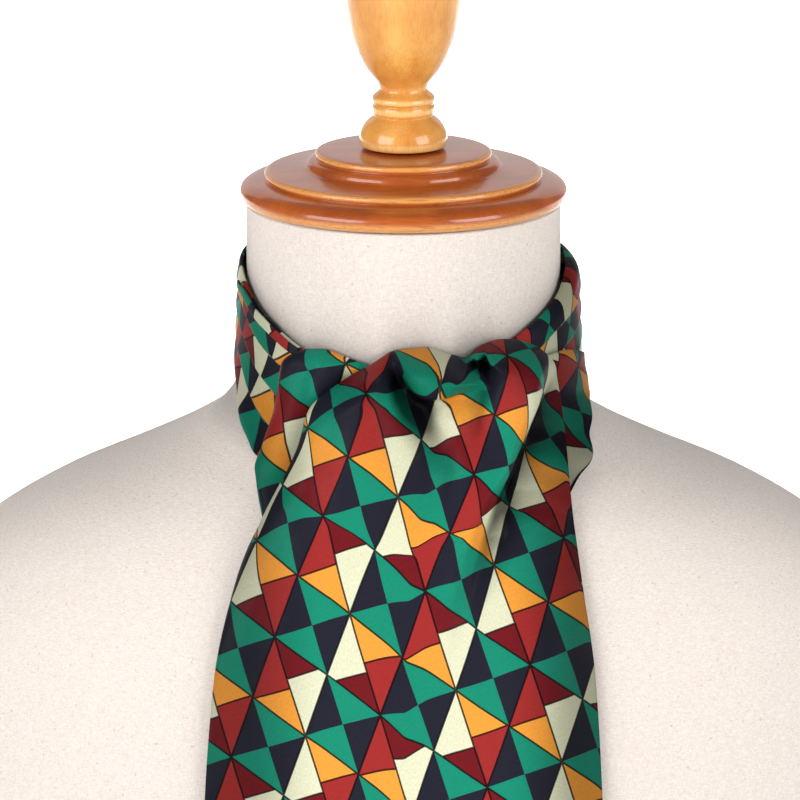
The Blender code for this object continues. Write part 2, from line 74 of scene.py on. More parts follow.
# %% [markdown]
# ## Studio light
# Silk shows its folds only when the light is soft but comes from somewhere. The main soft box stands on the
# left, above the neck and clear of the floor, and a weaker one on the right: the knob mirrors both of them.
# The others are screened, so varnish shows no glints of them. A white wall glows behind: varnished wood
# mirrors it, so the flat tops of the cap turn pale. The lights themselves are hidden from the lens.

# %% Floor, room and lights
bpy.context.scene.view_settings.view_transform = "Standard"
room = bpy.data.worlds.new("white_room")
room.use_nodes = True
room.node_tree.nodes["Background"].inputs["Color"].default_value = (1.0, 0.995, 0.985, 1.0)
room.node_tree.nodes["Background"].inputs["Strength"].default_value = 0.12
bpy.context.scene.world = room


def soft_box(name, place, aim, width, height, power):
    """A rectangular studio light at a place, turned towards a point."""
    data = bpy.data.lights.new(name, "AREA")
    data.shape, data.size, data.size_y, data.energy = "RECTANGLE", width, height, power
    light = bpy.data.objects.new(name, data)
    bpy.context.scene.collection.objects.link(light)
    light.location = place
    light.rotation_euler = (Vector(aim) - Vector(place)).to_track_quat("-Z", "Y").to_euler()
    light.visible_camera = False
    return light


NECK = (0.0, 0.0, 0.40)  # what the boxes in front point at
WASH_NEAR, WASH_FAR, WASH_HEIGHT = 3.4, 6.0, 2.8  # how far out a floor wash hangs and points, and how high up
soft_box("box_left", (-1.62, -1.40, 1.02), NECK, 1.7, 1.3, 38.5)
soft_box("box_right", (1.72, -1.32, 1.00), NECK, 1.4, 1.3, 32.5)
screened = [
    soft_box("box_low", (0.0, -1.70, 0.12), NECK, 2.0, 0.5, 7.0),
    soft_box("box_above", (-0.20, -0.50, 2.00), NECK, 1.2, 1.0, 5.0),
    soft_box("box_behind", (0.0, 2.2, 2.6), (0.0, 5.2, 0.0), 5.0, 2.0, 480.0),
]
for light in screened:
    light.visible_glossy = False
for side, (x, y) in {"west": (-1.0, 0.2), "east": (1.0, 0.2), "south": (0.0, -1.0)}.items():
    place, aim = (WASH_NEAR * x, WASH_NEAR * y, WASH_HEIGHT), (WASH_FAR * x, WASH_FAR * y, 0.0)
    soft_box("box_" + side, place, aim, 4.0, 2.0, 140.0)
glowing_wall = soft_box("glowing_wall", (0.0, 3.6, 1.5), (0.0, 0.0, 0.6), 5.0, 2.4, 27.0)
glowing_wall.data.color = (1.0, 0.87, 0.83)
glowing_wall.visible_diffuse = False

bm = bmesh.new()
bmesh.ops.create_grid(bm, x_segments=1, y_segments=1, size=9.0)
floor_mesh = bpy.data.meshes.new("studio_floor")
bm.to_mesh(floor_mesh)
bm.free()
floor = bpy.data.objects.new("studio_floor", floor_mesh)
bpy.context.scene.collection.objects.link(floor)
paper = bpy.data.materials.new("white_paper")
paper.use_nodes = True
paper_shader = paper.node_tree.nodes["Principled BSDF"]
paper_shader.inputs["Base Color"].default_value = (0.80, 0.80, 0.80, 1.0)
paper_shader.inputs["Roughness"].default_value = 0.9
floor_mesh.materials.append(paper)

# %% [markdown]
# ## Wiring a finish
# Every finish below is a small graph of nodes. A few helpers keep the wiring short. `add` makes a node and
# plugs its inputs, and each kind of arithmetic gets a plain name, so that a graph reads like a sum.


# %% Helpers for finishes
def tone(red, green, blue):
    """A colour as a paint chart gives it, 0 to 255, as the light that it reflects."""
    light = [((c / 255.0 + 0.055) / 1.055) ** 2.4 if c > 10 else c / 3294.6 for c in (red, green, blue)]
    return (*light, 1.0)


def new_finish(name):
    """A material with its node tree and its shader."""
    finish = bpy.data.materials.new(name)
    finish.use_nodes = True
    return finish, finish.node_tree, finish.node_tree.nodes["Principled BSDF"]


def plug_in(node, plugs):
    """Links a node's inputs to the plugs that are sockets, and sets them to the plugs that are values."""
    for key, value in plugs.items():
        if isinstance(value, bpy.types.NodeSocket):
            node.id_data.links.new(value, node.inputs[key])
        else:
            node.inputs[key].default_value = value


def add(kind, plugs, output=0, tree=None, **settings):
    """A node in the tree of its first socket. What it hands back is the socket that comes out of the node."""
    tree = tree or next(value.id_data for value in plugs.values() if isinstance(value, bpy.types.NodeSocket))
    node = tree.nodes.new("ShaderNode" + kind)
    for key, value in settings.items():
        setattr(node, key, value)
    plug_in(node, plugs)
    return node.outputs[output]


def arithmetic(operation):
    """A function that takes numbers or sockets and adds one Math node."""
    return lambda *values: add("Math", dict(enumerate(values)), operation=operation)


plus, minus, times, divided = map(arithmetic, ("ADD", "SUBTRACT", "MULTIPLY", "DIVIDE"))
times_plus, above, below = map(arithmetic, ("MULTIPLY_ADD", "GREATER_THAN", "LESS_THAN"))
highest, lowest, size_of, root = map(arithmetic, ("MAXIMUM", "MINIMUM", "ABSOLUTE", "SQRT"))
whole, remainder = map(arithmetic, ("FLOOR", "FLOORED_MODULO"))


def blend_colours(share, first, second):
    """`first` where the share is 0, `second` where it is 1."""
    plugs = {0: share, 6: first, 7: second}
    return add("Mix", plugs, output=2, data_type="RGBA", clamp_factor=True)


def stretched_noise(place, scale, detail=3.0, roughness=0.55):
    """Noise whose grains are stretched: `scale` is how many grains a metre holds along each axis."""
    mapped = add("Mapping", {"Vector": place, "Scale": scale})
    plugs = {"Vector": mapped, "Scale": 1.0, "Detail": detail, "Roughness": roughness}
    return add("TexNoise", plugs)


print("tone of white linen:", [round(c, 3) for c in tone(238, 230, 222)])

# %% [markdown]
# ## Varnished wood
# The cap is turned from a reddish board whose grain runs across it, and the knob from a paler stick whose
# grain runs up it. Both are varnished, so a clear coat lies over the wood. The grain is noise stretched
# along the board: slow figure, fine pores, cloudy stain. Each turned lip, the low band of the cap's rim and
# the knob's foot are painted as paler rings, painted highlights where these upright faces mirror the lights
# in front; each ring is found by its height and its radius.


# %% Wood finish
def varnished_wood(name, pale, deep, painted_highlight, highlight_rings, along, figure, gloss, pore_depth=0.3, coat=1.0):
    """Wood with its grain along "x" or "z". Each painted highlight ring is a height, half a height and a
    least radius, in mm.
    """
    finish, tree, shader = new_finish(name)
    place = add("TexCoord", {}, tree=tree, output="Object")
    slow = (figure * 0.16, figure, figure) if along == "x" else (figure, figure, figure * 0.16)
    fine = (60.0, 1500.0, 1500.0) if along == "x" else (1500.0, 1500.0, 60.0)
    rings = stretched_noise(place, slow, detail=4.0, roughness=0.6)
    pores = stretched_noise(place, fine, detail=2.0)
    cloudy = stretched_noise(place, (42.0, 42.0, 42.0), detail=3.0)
    share = times_plus(rings, 1.6, -0.6)
    share = times_plus(cloudy, 1.5, minus(share, 0.55))
    wood = blend_colours(share, pale, deep)
    axes = [add("SeparateXYZ", {0: place}, output=axis) for axis in "XYZ"]
    radius = root(plus(*(times(a, a) for a in axes[:2])))
    # painted highlight: each ring is painted paler, where upright faces would mirror the front lights
    for lip_height, half_height, least_radius in highlight_rings:
        far = size_of(minus(axes[2], CAP_HEIGHT + lip_height * MM))
        near = minus(1.0, divided(far, half_height * MM))
        near = times(near, times_plus(cloudy, 3.2, 0.2))
        near = times(near, above(radius, least_radius * MM))
        wood = blend_colours(near, wood, painted_highlight)
    dark = tuple(0.45 * c for c in deep[:3]) + (1.0,)
    pore_share = highest(times_plus(pores, 2.4, -1.25), 0.0)
    wood = blend_colours(lowest(pore_share, pore_depth), wood, dark)
    bump = add("Bump", {"Strength": 0.12, "Distance": 0.0004, "Height": pores})
    plug_in(shader, {"Base Color": wood, "Normal": bump, "Roughness": 0.45, "Specular IOR Level": 0.3})
    plug_in(shader, {"Coat Weight": coat, "Coat Roughness": gloss, "Coat IOR": 1.5})
    return finish


# rings painted paler as highlights: height over the cap's underside, half a height and least radius, in mm
CAP_HIGHLIGHT_RINGS = [(11, 1.5, 50.6), (18.6, 1.3, 32.4), (1.6, 2.6, 57)]
KNOB_HIGHLIGHT_RINGS = [(22, 2.6, 14), (35.4, 1.4, 11.2), (39.4, 1.2, 11.2)]
cap_tones = {"pale": tone(188, 91, 23), "deep": tone(144, 61, 11), "painted_highlight": tone(224, 152, 80)}
knob_tones = {"pale": tone(240, 180, 92), "deep": tone(204, 122, 42), "painted_highlight": tone(240, 188, 114)}
cap_wood = varnished_wood("cap_varnish", **cap_tones, highlight_rings=CAP_HIGHLIGHT_RINGS, along="x", figure=62.0, gloss=0.13)
knob_cut = {"highlight_rings": KNOB_HIGHLIGHT_RINGS, "along": "z", "figure": 60.0, "gloss": 0.12, "pore_depth": 0.16, "coat": 0.9}
knob_wood = varnished_wood("knob_varnish", **knob_tones, **knob_cut)
print("finishes:", cap_wood.name, knob_wood.name)

# %% [markdown]
# ## Linen
# The form is covered in unbleached linen. Linen yarn is uneven, so single threads show as short darker and
# paler slubs, upright for the warp and level for the weft. Two stretched noises make them, and the same
# noises raise the surface a little. Linen under a dark cloth gets no light back from it, so `cloth_shade`,
# a painted shade which the form carries, greys the linen just above the cloth.

# %% Linen finish
linen_finish, tree, shader = new_finish("linen_cover")
place = add("TexCoord", {}, tree=tree, output="Object")
warp = stretched_noise(place, (3000.0, 3000.0, 560.0), detail=1.5, roughness=0.5)
weft = stretched_noise(place, (560.0, 560.0, 3000.0), detail=1.5, roughness=0.5)
cloudy = stretched_noise(place, (24.0, 24.0, 24.0), detail=3.0)
threads = plus(warp, weft)
slub_share = times_plus(threads, 1.5, -1.0)
cover = blend_colours(slub_share, tone(210, 198, 190), tone(233, 224, 216))
worn = times_plus(cloudy, 0.8, -0.28)
cover = blend_colours(times(worn, 0.35), cover, tone(226, 212, 199))
fleck = stretched_noise(place, (620.0, 620.0, 620.0), detail=1.0)
fleck_share = times(above(fleck, 0.735), 0.42)
cover = blend_colours(fleck_share, cover, tone(168, 148, 128))
# painted shade: the linen's colour is darkened just above the cloth
cloth_shade = add("Attribute", {}, tree=tree, output="Fac", attribute_name="cloth_shade")
cover = add("HueSaturation", {"Color": cover, "Value": cloth_shade})
bump = add("Bump", {"Strength": 0.35, "Distance": 0.0005, "Height": threads})
plug_in(shader, {"Base Color": cover, "Normal": bump, "Roughness": 0.92})
plug_in(shader, {"Specular IOR Level": 0.2, "Sheen Weight": 0.15})
print("finish:", linen_finish.name)

# %% [markdown]
# ## The printed silk
# The print is a harlequin: lozenges in a chequer, the way stage costumes have had them for centuries. Every
# other lozenge is a jewel of red, amber and cream facets with a thin dark outline, and the ones between are
# quartered in green and navy. The graph works on the cloth's own map, which is measured in metres of flat
# cloth, so the print bends and foreshortens with each fold. One Mapping node turns the lozenges into the
# cells of a square chequer; from there on every facet is a comparison. Silk in a fold only sees other dark
# silk, so `painted_light_and_shade`, which each stretch carries, darkens the dyes there as painted shade,
# also on the flanks and where the cloth faces up, and lets the crowns come out a little paler, a painted
# highlight.

# %% Printed silk
LOZENGE_WIDE, LOZENGE_TALL = 0.0290, 0.0380  # a lozenge of the print, in metres of flat cloth
OUTLINE = 0.00036  # half the width of the dark outline
LEFT_CUT, RIGHT_CUT = -0.03, 0.16  # how far up each half of a jewel changes its colour
silk_finish, tree, shader = new_finish("printed_silk")
on_cloth = add("TexCoord", {}, tree=tree, output="UV")
to_squares = (math.sqrt(2.0) / LOZENGE_WIDE, math.sqrt(2.0) / LOZENGE_TALL, 1.0)
to_corner = (0.0, 0.0, math.radians(-45.0))
cells = add("Mapping", {"Vector": on_cloth, "Rotation": to_corner, "Scale": to_squares})
cell_x, cell_y = (add("SeparateXYZ", {0: cells}, output=axis) for axis in "XY")
number_x, number_y = whole(cell_x), whole(cell_y)
in_x = minus(minus(cell_x, number_x), 0.5)
in_y = minus(minus(cell_y, number_y), 0.5)
is_jewel = remainder(plus(number_x, number_y), 2.0)
turned_over = remainder(number_x, 2.0)
way = times_plus(turned_over, -2.0, 1.0)
side = times(minus(in_x, in_y), way)
height = times(plus(in_x, in_y), way)

GREEN, NAVY, RED = tone(22, 128, 102), tone(32, 32, 44), tone(148, 42, 40)
AMBER, CREAM, INK = tone(222, 146, 56), tone(207, 207, 177), tone(14, 8, 12)
GARNET = tone(104, 22, 28)
on_right = above(side, 0.0)
left_facets = blend_colours(above(height, LEFT_CUT), AMBER, RED)
right_facets = blend_colours(above(height, RIGHT_CUT), CREAM, GARNET)
jewel = blend_colours(on_right, left_facets, right_facets)
quarter = above(times(side, height), 0.0)
ground = blend_colours(quarter, NAVY, GREEN)
printed = blend_colours(is_jewel, ground, jewel)

out_x, out_y = size_of(in_x), size_of(in_y)
to_edge = minus(0.5, highest(out_x, out_y))
edge_line = below(to_edge, OUTLINE * math.hypot(1 / LOZENGE_WIDE, 1 / LOZENGE_TALL))
middle_line = below(size_of(side), 2.0 * OUTLINE / LOZENGE_WIDE)
cut_height = times_plus(on_right, RIGHT_CUT - LEFT_CUT, LEFT_CUT)
facet_gap = size_of(minus(height, cut_height))
facet_line = below(facet_gap, 2.0 * OUTLINE / LOZENGE_TALL)
inner_lines = times(highest(middle_line, facet_line), is_jewel)
lines = times(highest(edge_line, inner_lines), 0.92)
printed = blend_colours(lines, printed, INK)

grain_place = add("Mapping", {"Vector": on_cloth, "Scale": (2600.0, 900.0, 1.0)})
grain = add("TexNoise", {"Vector": grain_place, "Scale": 1.0, "Detail": 2.0})
# painted light and shade: the dyes are darkened in folds, on the flanks and where the cloth faces up, and a
# little paler on crowns
painted_light_and_shade = add("Attribute", {}, tree=tree, output="Fac", attribute_name="painted_light_and_shade")
value = times(times_plus(grain, 0.5, 0.75), painted_light_and_shade)
printed = add("HueSaturation", {"Color": printed, "Value": value})
twill = add("Bump", {"Strength": 0.15, "Distance": 0.0002, "Height": grain})
plug_in(shader, {"Base Color": printed, "Normal": twill, "Roughness": 0.46, "Specular IOR Level": 0.06})
print("print repeat:", 2 * LOZENGE_WIDE, "by", 2 * LOZENGE_TALL, "m")

# %% [markdown]
# ## Measuring with tables
# A pattern cutter works from a table of measurements and joins them with a smooth curve. `curve` does the
# same: it runs through one column of a table without ever bulging past its rows. In all tables heights are
# millimetres counted down from the underside of the cap, and x is millimetres towards the wearer's left. A
# bearing says where on the neck a place is: 0 is the front, +90 the wearer's left, -90 the right, 180 the
# nape. A left-hand or right-hand side is meant as it is seen from in front.


# %% Curves and places
def curve(table, column, at):
    """A smooth curve through one column of a table, with no overshoot between its rows."""
    rows = np.array(table, dtype=float)
    rows = rows[np.argsort(rows[:, 0])]
    x, y = rows[:, 0], rows[:, column]
    step = np.diff(x)
    slope = np.diff(y) / step
    tangent = np.zeros(len(x))
    tangent[0], tangent[-1] = slope[0], slope[-1]
    same_way = slope[:-1] * slope[1:] > 0
    mean = 2 * slope[:-1] * slope[1:] / np.where(same_way, slope[:-1] + slope[1:], 1.0)
    tangent[1:-1] = np.where(same_way, mean, 0.0)
    at = np.clip(at, x[0], x[-1])
    i = np.clip(np.searchsorted(x, at) - 1, 0, len(step) - 1)
    t = (at - x[i]) / step[i]
    start = (1 + 2 * t) * (1 - t) ** 2 * y[i] + t * (1 - t) ** 2 * step[i] * tangent[i]
    end = t * t * (3 - 2 * t) * y[i + 1] + t * t * (t - 1) * step[i] * tangent[i + 1]
    return start + end


def curves(table, at):
    """The curves through all of a table's columns."""
    return [curve(table, column, at) for column in range(1, len(table[0]))]


def ramp(distance, reach):
    """0 at an edge, rising as a quarter circle to 1 at `reach` inside it."""
    t = np.clip(distance / reach, 0.0, 1.0)
    return np.sqrt(1.0 - (1.0 - t) ** 2)


def smooth_step(t):
    """0 below 0, 1 above 1, and a soft change from one to the other between them."""
    t = np.clip(t, 0.0, 1.0)
    return t * t * (3 - 2 * t)


def crowd(count, reach):
    """Stations from 0 to 1 that crowd together at both ends, where an edge is rounded."""
    even = np.linspace(0.0, 1.0, count)
    return even + (0.5 - 0.5 * np.cos(math.pi * even) - even) * reach


def pointed_hem(across, corner, point):
    """Height of a hem that falls from a corner at each side to a point in the middle."""
    return corner + (point - corner) * (1 - np.abs(2 * across - 1) ** 1.15)


def placed(bearing, height, radius):
    """Points in the frame, in metres, from a bearing, a height and a radius in millimetres."""
    angle = np.radians(bearing)
    place = (radius * np.sin(angle) * MM, -radius * np.cos(angle) * MM, height * MM + CAP_HEIGHT)
    return np.stack(place, axis=-1)


def finished(name, bm, finish):
    """Turns a bmesh into a smooth-shaded piece of the object, and lets it ride on the form."""
    for face in bm.faces:
        face.smooth = True
    mesh = bpy.data.meshes.new(name)
    bm.to_mesh(mesh)
    bm.free()
    mesh.materials.append(finish)
    piece = bpy.data.objects.new(name, mesh)
    bpy.context.scene.collection.objects.link(piece)
    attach(piece, "root")
    return piece


print("a quarter of the way up a rounded edge:", round(float(ramp(0.25, 1.0)), 3))

# %% [markdown]
# ## The linen form
# The neck is a slightly oval post that flares into sloping shoulders and a chest, and ends on a flat base.
# A sculptor would push a ball about; here one ring is drawn and extruded upwards, level by level, and each
# new ring is moved onto the measured outline. The same outline later tells the cloth where the linen is.

# %% Linen form
# height, half width, depth to the front, depth to the back, squareness of the outline
FORM_LEVELS = [
    (-0.3, 59.6, 60, 60, 2), (-25, 59.7, 60.1, 60.4, 2), (-50, 60.4, 60.9, 62.2, 2),
    (-68, 63.2, 63.6, 66.8, 2.02), (-80, 70.5, 67.2, 73, 2.05), (-90, 86, 71, 80, 2.1),
    (-100, 108, 75.5, 86, 2.15), (-112, 137, 81.5, 92, 2.2), (-128, 163, 88.5, 97, 2.25),
    (-150, 183, 96, 102, 2.3), (-180, 194, 102.5, 106, 2.35), (-220, 197, 108.5, 108, 2.4),
    (-270, 191, 112, 107, 2.4), (-330, 178, 110, 102, 2.35), (-400, 163, 103, 94, 2.3),
    (-450, 155.5, 98, 89, 2.25), (-470, 154, 97, 88, 2.25),
]  # fmt: skip
FORM_TURNS = 192
BASE_EDGE, BASE_TUCK = -467.0, 2.4  # the base's edge is a little round: from this height down, and how much


def linen(bearing, height):
    """Radius of the form at a bearing and a height."""
    half_width, to_front, to_back, power = curves(FORM_LEVELS, height)
    side, facing = np.abs(np.sin(np.radians(bearing))) / half_width, np.cos(np.radians(bearing))
    depth = np.where(facing > 0, to_front, to_back)
    return (side**power + (np.abs(facing) / depth) ** power) ** (-1.0 / power)


parts = ((-465.0, -180.0, 28), (-176.0, -50.0, 46), (-48.5, -1.5, 30))  # chest, shoulders, neck
levels = np.concatenate([[-470.0, -469.4, -468.0], *(np.linspace(*part) for part in parts), [-0.7, -0.3]])
under_edge = np.maximum(BASE_EDGE - levels, 0.0)
tucked = under_edge**2 / under_edge[0] ** 2 * BASE_TUCK
bm = bmesh.new()
bmesh.ops.create_circle(bm, segments=FORM_TURNS, radius=1.0, cap_ends=True)
bmesh.ops.reverse_faces(bm, faces=bm.faces)
ring, rim = list(bm.verts), list(bm.edges)
for k, level in enumerate(levels):
    if k:
        pulled = bmesh.ops.extrude_edge_only(bm, edges=rim)["geom"]
        ring = [v for v in pulled if isinstance(v, bmesh.types.BMVert)]
        rim = [e for e in pulled if isinstance(e, bmesh.types.BMEdge)]
    bearings = np.degrees([math.atan2(v.co.x, -v.co.y) for v in ring])
    outline = placed(bearings, np.full(len(ring), level), linen(bearings, level) - tucked[k])
    for vert, point in zip(ring, outline):
        vert.co = point
bmesh.ops.contextual_create(bm, geom=rim)
bmesh.ops.recalc_face_normals(bm, faces=bm.faces)
linen_form = finished("linen_form", bm, linen_finish)
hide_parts("form_torso")
print("linen form:", len(linen_form.data.polygons), "faces")

# %% [markdown]
# ## The turned cap and knob
# A lathe turns a profile round an axis, and `spin` is the same tool: a line of points is drawn from the
# middle of the underside, round the rim and over the steps, and spun once round. Where two points of the
# profile lie close together the edge stays crisp when the surface is subdivided.

# %% Cap and knob
CAP_RINGS = [  # radius, height over the underside
    (0, 0), (20, 0), (50, 0), (58.2, 0), (60.4, 0.6), (61.9, 2), (62.4, 3.8), (62.1, 5.6), (60.8, 7.1),
    (58.4, 8.2), (55.6, 8.8), (53.6, 9), (52.6, 9.05), (52.15, 9.25), (52.3, 9.7), (52.8, 10.3),
    (52.8, 11.1), (52.4, 11.7), (51.6, 12.1), (50.4, 12.25), (44, 12.6), (38.8, 13.1), (37.2, 13.4),
    (36.6, 14), (36.4, 15), (35.9, 15.9), (35, 16.4), (33.8, 16.6), (33.2, 16.75), (33.1, 17.2),
    (33.5, 17.9), (33.5, 18.8), (33, 19.5), (32, 19.8), (26, 20.1), (12, 20.4), (0, 20.5),
]  # fmt: skip
KNOB_RINGS = [
    (0, 21), (8, 21), (14.8, 21), (15.9, 21.3), (16.5, 22.2), (16.8, 23.8), (16.6, 25.8), (15.8, 28.2),
    (14.3, 30.4), (12.6, 32), (11.3, 32.8), (11, 33.05), (11.1, 33.4), (11.6, 33.9), (11.9, 34.8),
    (11.9, 36.2), (11.7, 37.1), (11.35, 37.5), (11.35, 37.8), (11.7, 38.2), (12, 39), (11.9, 40),
    (11.4, 40.9), (10.5, 41.6), (9.8, 42.1), (9.3, 42.7), (9.1, 43.6), (9.2, 44.6), (9.7, 45.8),
    (10.8, 47.2), (12.6, 49.2), (14.8, 52.3), (17.1, 56.9), (19.3, 62.6), (21, 70), (22.2, 78.5), (22.7, 87),
    (21.9, 94.5), (19.2, 101), (14.6, 105.6), (9.6, 107.9), (7, 108.7), (6.1, 109.8), (6.1, 111), (7, 112.4),
    (7.5, 114), (7, 116.3), (5.3, 118.2), (2.8, 119), (0, 119.2),
]  # fmt: skip


def turned_on_a_lathe(name, rings, finish, node):
    """Spins a profile once round the neck's axis and rounds it with a subdivision surface."""
    bm = bmesh.new()
    line = [bm.verts.new((r * MM, 0.0, h * MM + CAP_HEIGHT)) for r, h in rings]
    edges = [bm.edges.new(pair) for pair in zip(line, line[1:])]
    axis = {"cent": (0.0, 0.0, 0.0), "axis": (0.0, 0.0, 1.0), "angle": math.tau}
    bmesh.ops.spin(bm, geom=line + edges, steps=64, use_merge=True, **axis)
    bmesh.ops.remove_doubles(bm, verts=bm.verts, dist=1e-6)
    bmesh.ops.recalc_face_normals(bm, faces=bm.faces)
    piece = finished(name, bm, finish)
    rounding = piece.modifiers.new("rounding", "SUBSURF")
    rounding.levels = rounding.render_levels = 2
    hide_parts(node)
    return piece


turned_cap = turned_on_a_lathe("turned_cap", CAP_RINGS, cap_wood, "neck_cap")
turned_knob = turned_on_a_lathe("turned_knob", KNOB_RINGS, knob_wood, "neck_finial")
print("turned:", turned_cap.name, len(CAP_RINGS), "rings;", turned_knob.name, len(KNOB_RINGS), "rings")

# %% [markdown]
# ## How a stretch of cloth is laid
# Cloth on a form is a distance off the linen. Each stretch below is a function that gives this distance at
# every place, built up from a swell, rounded edges, and folds. A fold is a short table: the places that its
# line runs through, and how wide it is to each side and how deep at each of them. What lies underneath is
# never guessed: `Floor` maps the layers below, and the upper cloth slopes down from their edges.

# %% Layers
SEAM_GAP = 0.38  # clear space between two stretches that lie on each other
SILK = 1.1  # thickness of a stretch as it hangs: two silks
BAND_SILK = 1.4  # the pleated band is sewn through
STRIP_SILK = 0.9
LAID_OVER = 1.4 + SEAM_GAP + 0.1  # what a stretch needs over the face below: its silk, some slack, the gap
FLOOR_STEP, FLOOR_TURN, FLOOR_SLOPE = 2.0, 1.6, 1.3  # the map's step down, its step round, and a slope's fall
FLOOR_HEIGHTS = np.arange(-28.0, -308.0, -FLOOR_STEP)
FLOOR_BEARINGS = np.arange(-80.0, 100.0, FLOOR_TURN)


def along_line(across, height, rows):
    """How near each place is to a fold's line, on which side of it, and the line's measurements there."""
    rows = np.array(rows, dtype=float)
    run = np.concatenate([[0.0], np.cumsum(np.hypot(*np.diff(rows[:, :2], axis=0).T))])
    fine = np.linspace(0.0, run[-1], 6 * len(rows))
    line = np.stack([curve(np.column_stack([run, column]), 1, fine) for column in rows.T], axis=1)
    nearest = np.full(np.broadcast(across, height).shape, 1e9)
    side, here = np.zeros(nearest.shape), np.zeros((rows.shape[1] - 2, *nearest.shape))
    for start, end in zip(line, line[1:]):
        run_x, run_z = end[0] - start[0], end[1] - start[1]
        along = (across - start[0]) * run_x + (height - start[1]) * run_z
        t = np.clip(along / (run_x**2 + run_z**2), 0.0, 1.0)
        away_x, away_z = across - start[0] - t * run_x, height - start[1] - t * run_z
        away = np.hypot(away_x, away_z)
        closer = away < nearest
        nearest = np.where(closer, away, nearest)
        side = np.where(closer, away_x * run_z - away_z * run_x, side)
        for k in range(len(here)):
            here[k] = np.where(closer, start[k + 2] + (end[k + 2] - start[k + 2]) * t, here[k])
    return nearest, side, here


def folds(across, height, tables):
    """The sum of soft ridges and troughs. Each table is one fold, a row for each place on its line:
    x, height, half width on the left of the way it runs, half width on the right, depth (+ out, - in)."""
    total = 0.0
    for rows in tables:
        nearest, side, (left_width, right_width, depth) = along_line(across, height, rows)
        total = total + depth * np.exp(-((nearest / np.where(side > 0, left_width, right_width)) ** 2))
    return total


def ripples(across, height, size, seed):
    """Slow unevenness from -1 to 1, as hand-laid cloth has: a few crossing waves about `size` mm long."""
    draw = np.random.default_rng(seed)
    total = 0.0
    for _ in range(7):
        turn, phase = draw.uniform(0.0, math.pi), draw.uniform(0.0, math.tau)
        wave = size * draw.uniform(0.6, 1.7)
        total = total + np.sin((across * math.cos(turn) + height * math.sin(turn)) * math.tau / wave + phase)
    return total / 4.0


def stand_off(bearing, height, off):
    """Radius of a face that stands `off` from the linen, measured square to the linen where it slopes."""
    slope = (linen(bearing, height + 1.5) - linen(bearing, height - 1.5)) / 3.0
    return linen(bearing, height) + off * np.minimum(np.hypot(1.0, slope), 2.4)


def swollen(low, full, *edges):
    """A face that swells from `low` to `full` and is rounded in at edges, each a distance and a reach."""
    round_in = 1.0
    for inside, reach in edges:
        round_in = round_in * ramp(inside, reach)
    return low + (np.maximum(full, low) - low) * round_in


def layer_of(stretch_off):
    """The layer that a stretch makes for those above it: how far it stands off the linen where it lies."""

    def layer(bearing, height):
        off, inside = stretch_off(bearing, height)
        return np.where(inside > 0, off, 0.0)

    return layer


class Floor:
    """What a stretch of cloth lies over: the layers' highest face, with a slope down from each edge."""

    def __init__(self, layers):
        bearing, height = np.meshgrid(FLOOR_BEARINGS, FLOOR_HEIGHTS)
        bare = self.spread(np.maximum.reduce([layer(bearing, height) for layer in layers]), 0.0)
        slope = bare
        for _ in range(5):
            slope = self.spread(slope, FLOOR_SLOPE)
        soft = np.pad(slope, 1, mode="edge")
        soft = (soft[:-2] + 2 * soft[1:-1] + soft[2:]) / 4
        soft = (soft[:, :-2] + 2 * soft[:, 1:-1] + soft[:, 2:]) / 4
        self.face = np.maximum(soft, bare)

    @staticmethod
    def spread(face, loss):
        """The highest face among a place's neighbours, which lose a little for each step away."""
        wide = np.pad(face, 1, mode="edge")
        rows, columns = face.shape
        most = face
        for i in range(3):
            for j in range(3):
                most = np.maximum(most, wide[i : i + rows, j : j + columns] - loss * math.hypot(i - 1, j - 1))
        return most

    def __call__(self, bearing, height):
        """How high the floor is at places anywhere, read off the map between its steps."""
        rows, columns = self.face.shape
        i = np.clip((FLOOR_HEIGHTS[0] - height) / FLOOR_STEP, 0, rows - 1.001)
        j = np.clip((bearing - FLOOR_BEARINGS[0]) / FLOOR_TURN, 0, columns - 1.001)
        i0, j0 = i.astype(int), j.astype(int)
        i, j = i - i0, j - j0
        high = self.face[i0, j0] * (1 - j) + self.face[i0, j0 + 1] * j
        deep = self.face[i0 + 1, j0] * (1 - j) + self.face[i0 + 1, j0 + 1] * j
        return high * (1 - i) + deep * i


print("a laid stretch needs", LAID_OVER, "mm over the one below")

# %% [markdown]
# ## From a flat grid to a stretch
# `lay` cuts a flat grid and moves each of its points to its place on the form. The print was on the silk
# before it was folded, so the cloth also needs its own flat map, in metres, as on the cutting table.
# `flat_map` finds it as a seamster would, by smoothing the piece out: it starts as the piece looks from
# round about, and springs between neighbouring points pull it to its true lengths, first a coarse net of
# them and then finer ones. The pleated band is cut straight, so it keeps plain lengths, row by row.
# A Solidify modifier gives the silk its two layers, and a small Bevel rounds the turned edge.


# %% Lay a stretch
FOLD_REACH = 19  # how many steps of the grid away a fold still shades the cloth
KNOT_X = 4.0  # the knot's middle, a little to the wearer's left


def row_map(face):
    """The flat map of a strip that is cut straight: its mean length along, and its true length across."""
    width = np.concatenate([[0.0], np.cumsum(np.linalg.norm(np.diff(face, axis=1), axis=2).mean(axis=0))])
    deep = np.concatenate([[0.0], np.cumsum(np.linalg.norm(np.diff(face, axis=0), axis=2).mean(axis=1))])
    return np.stack(np.broadcast_arrays(width[None, :], -deep[:, None]), axis=2)


def smoothed_out(net, rounds):
    """A net of points with each pulled halfway to the middle of its neighbours, down and then across."""
    net = net.copy()
    for _ in range(rounds):
        net[1:-1] += 0.25 * (net[2:] + net[:-2] - 2 * net[1:-1])
        net[:, 1:-1] += 0.25 * (net[:, 2:] + net[:, :-2] - 2 * net[:, 1:-1])
    return net


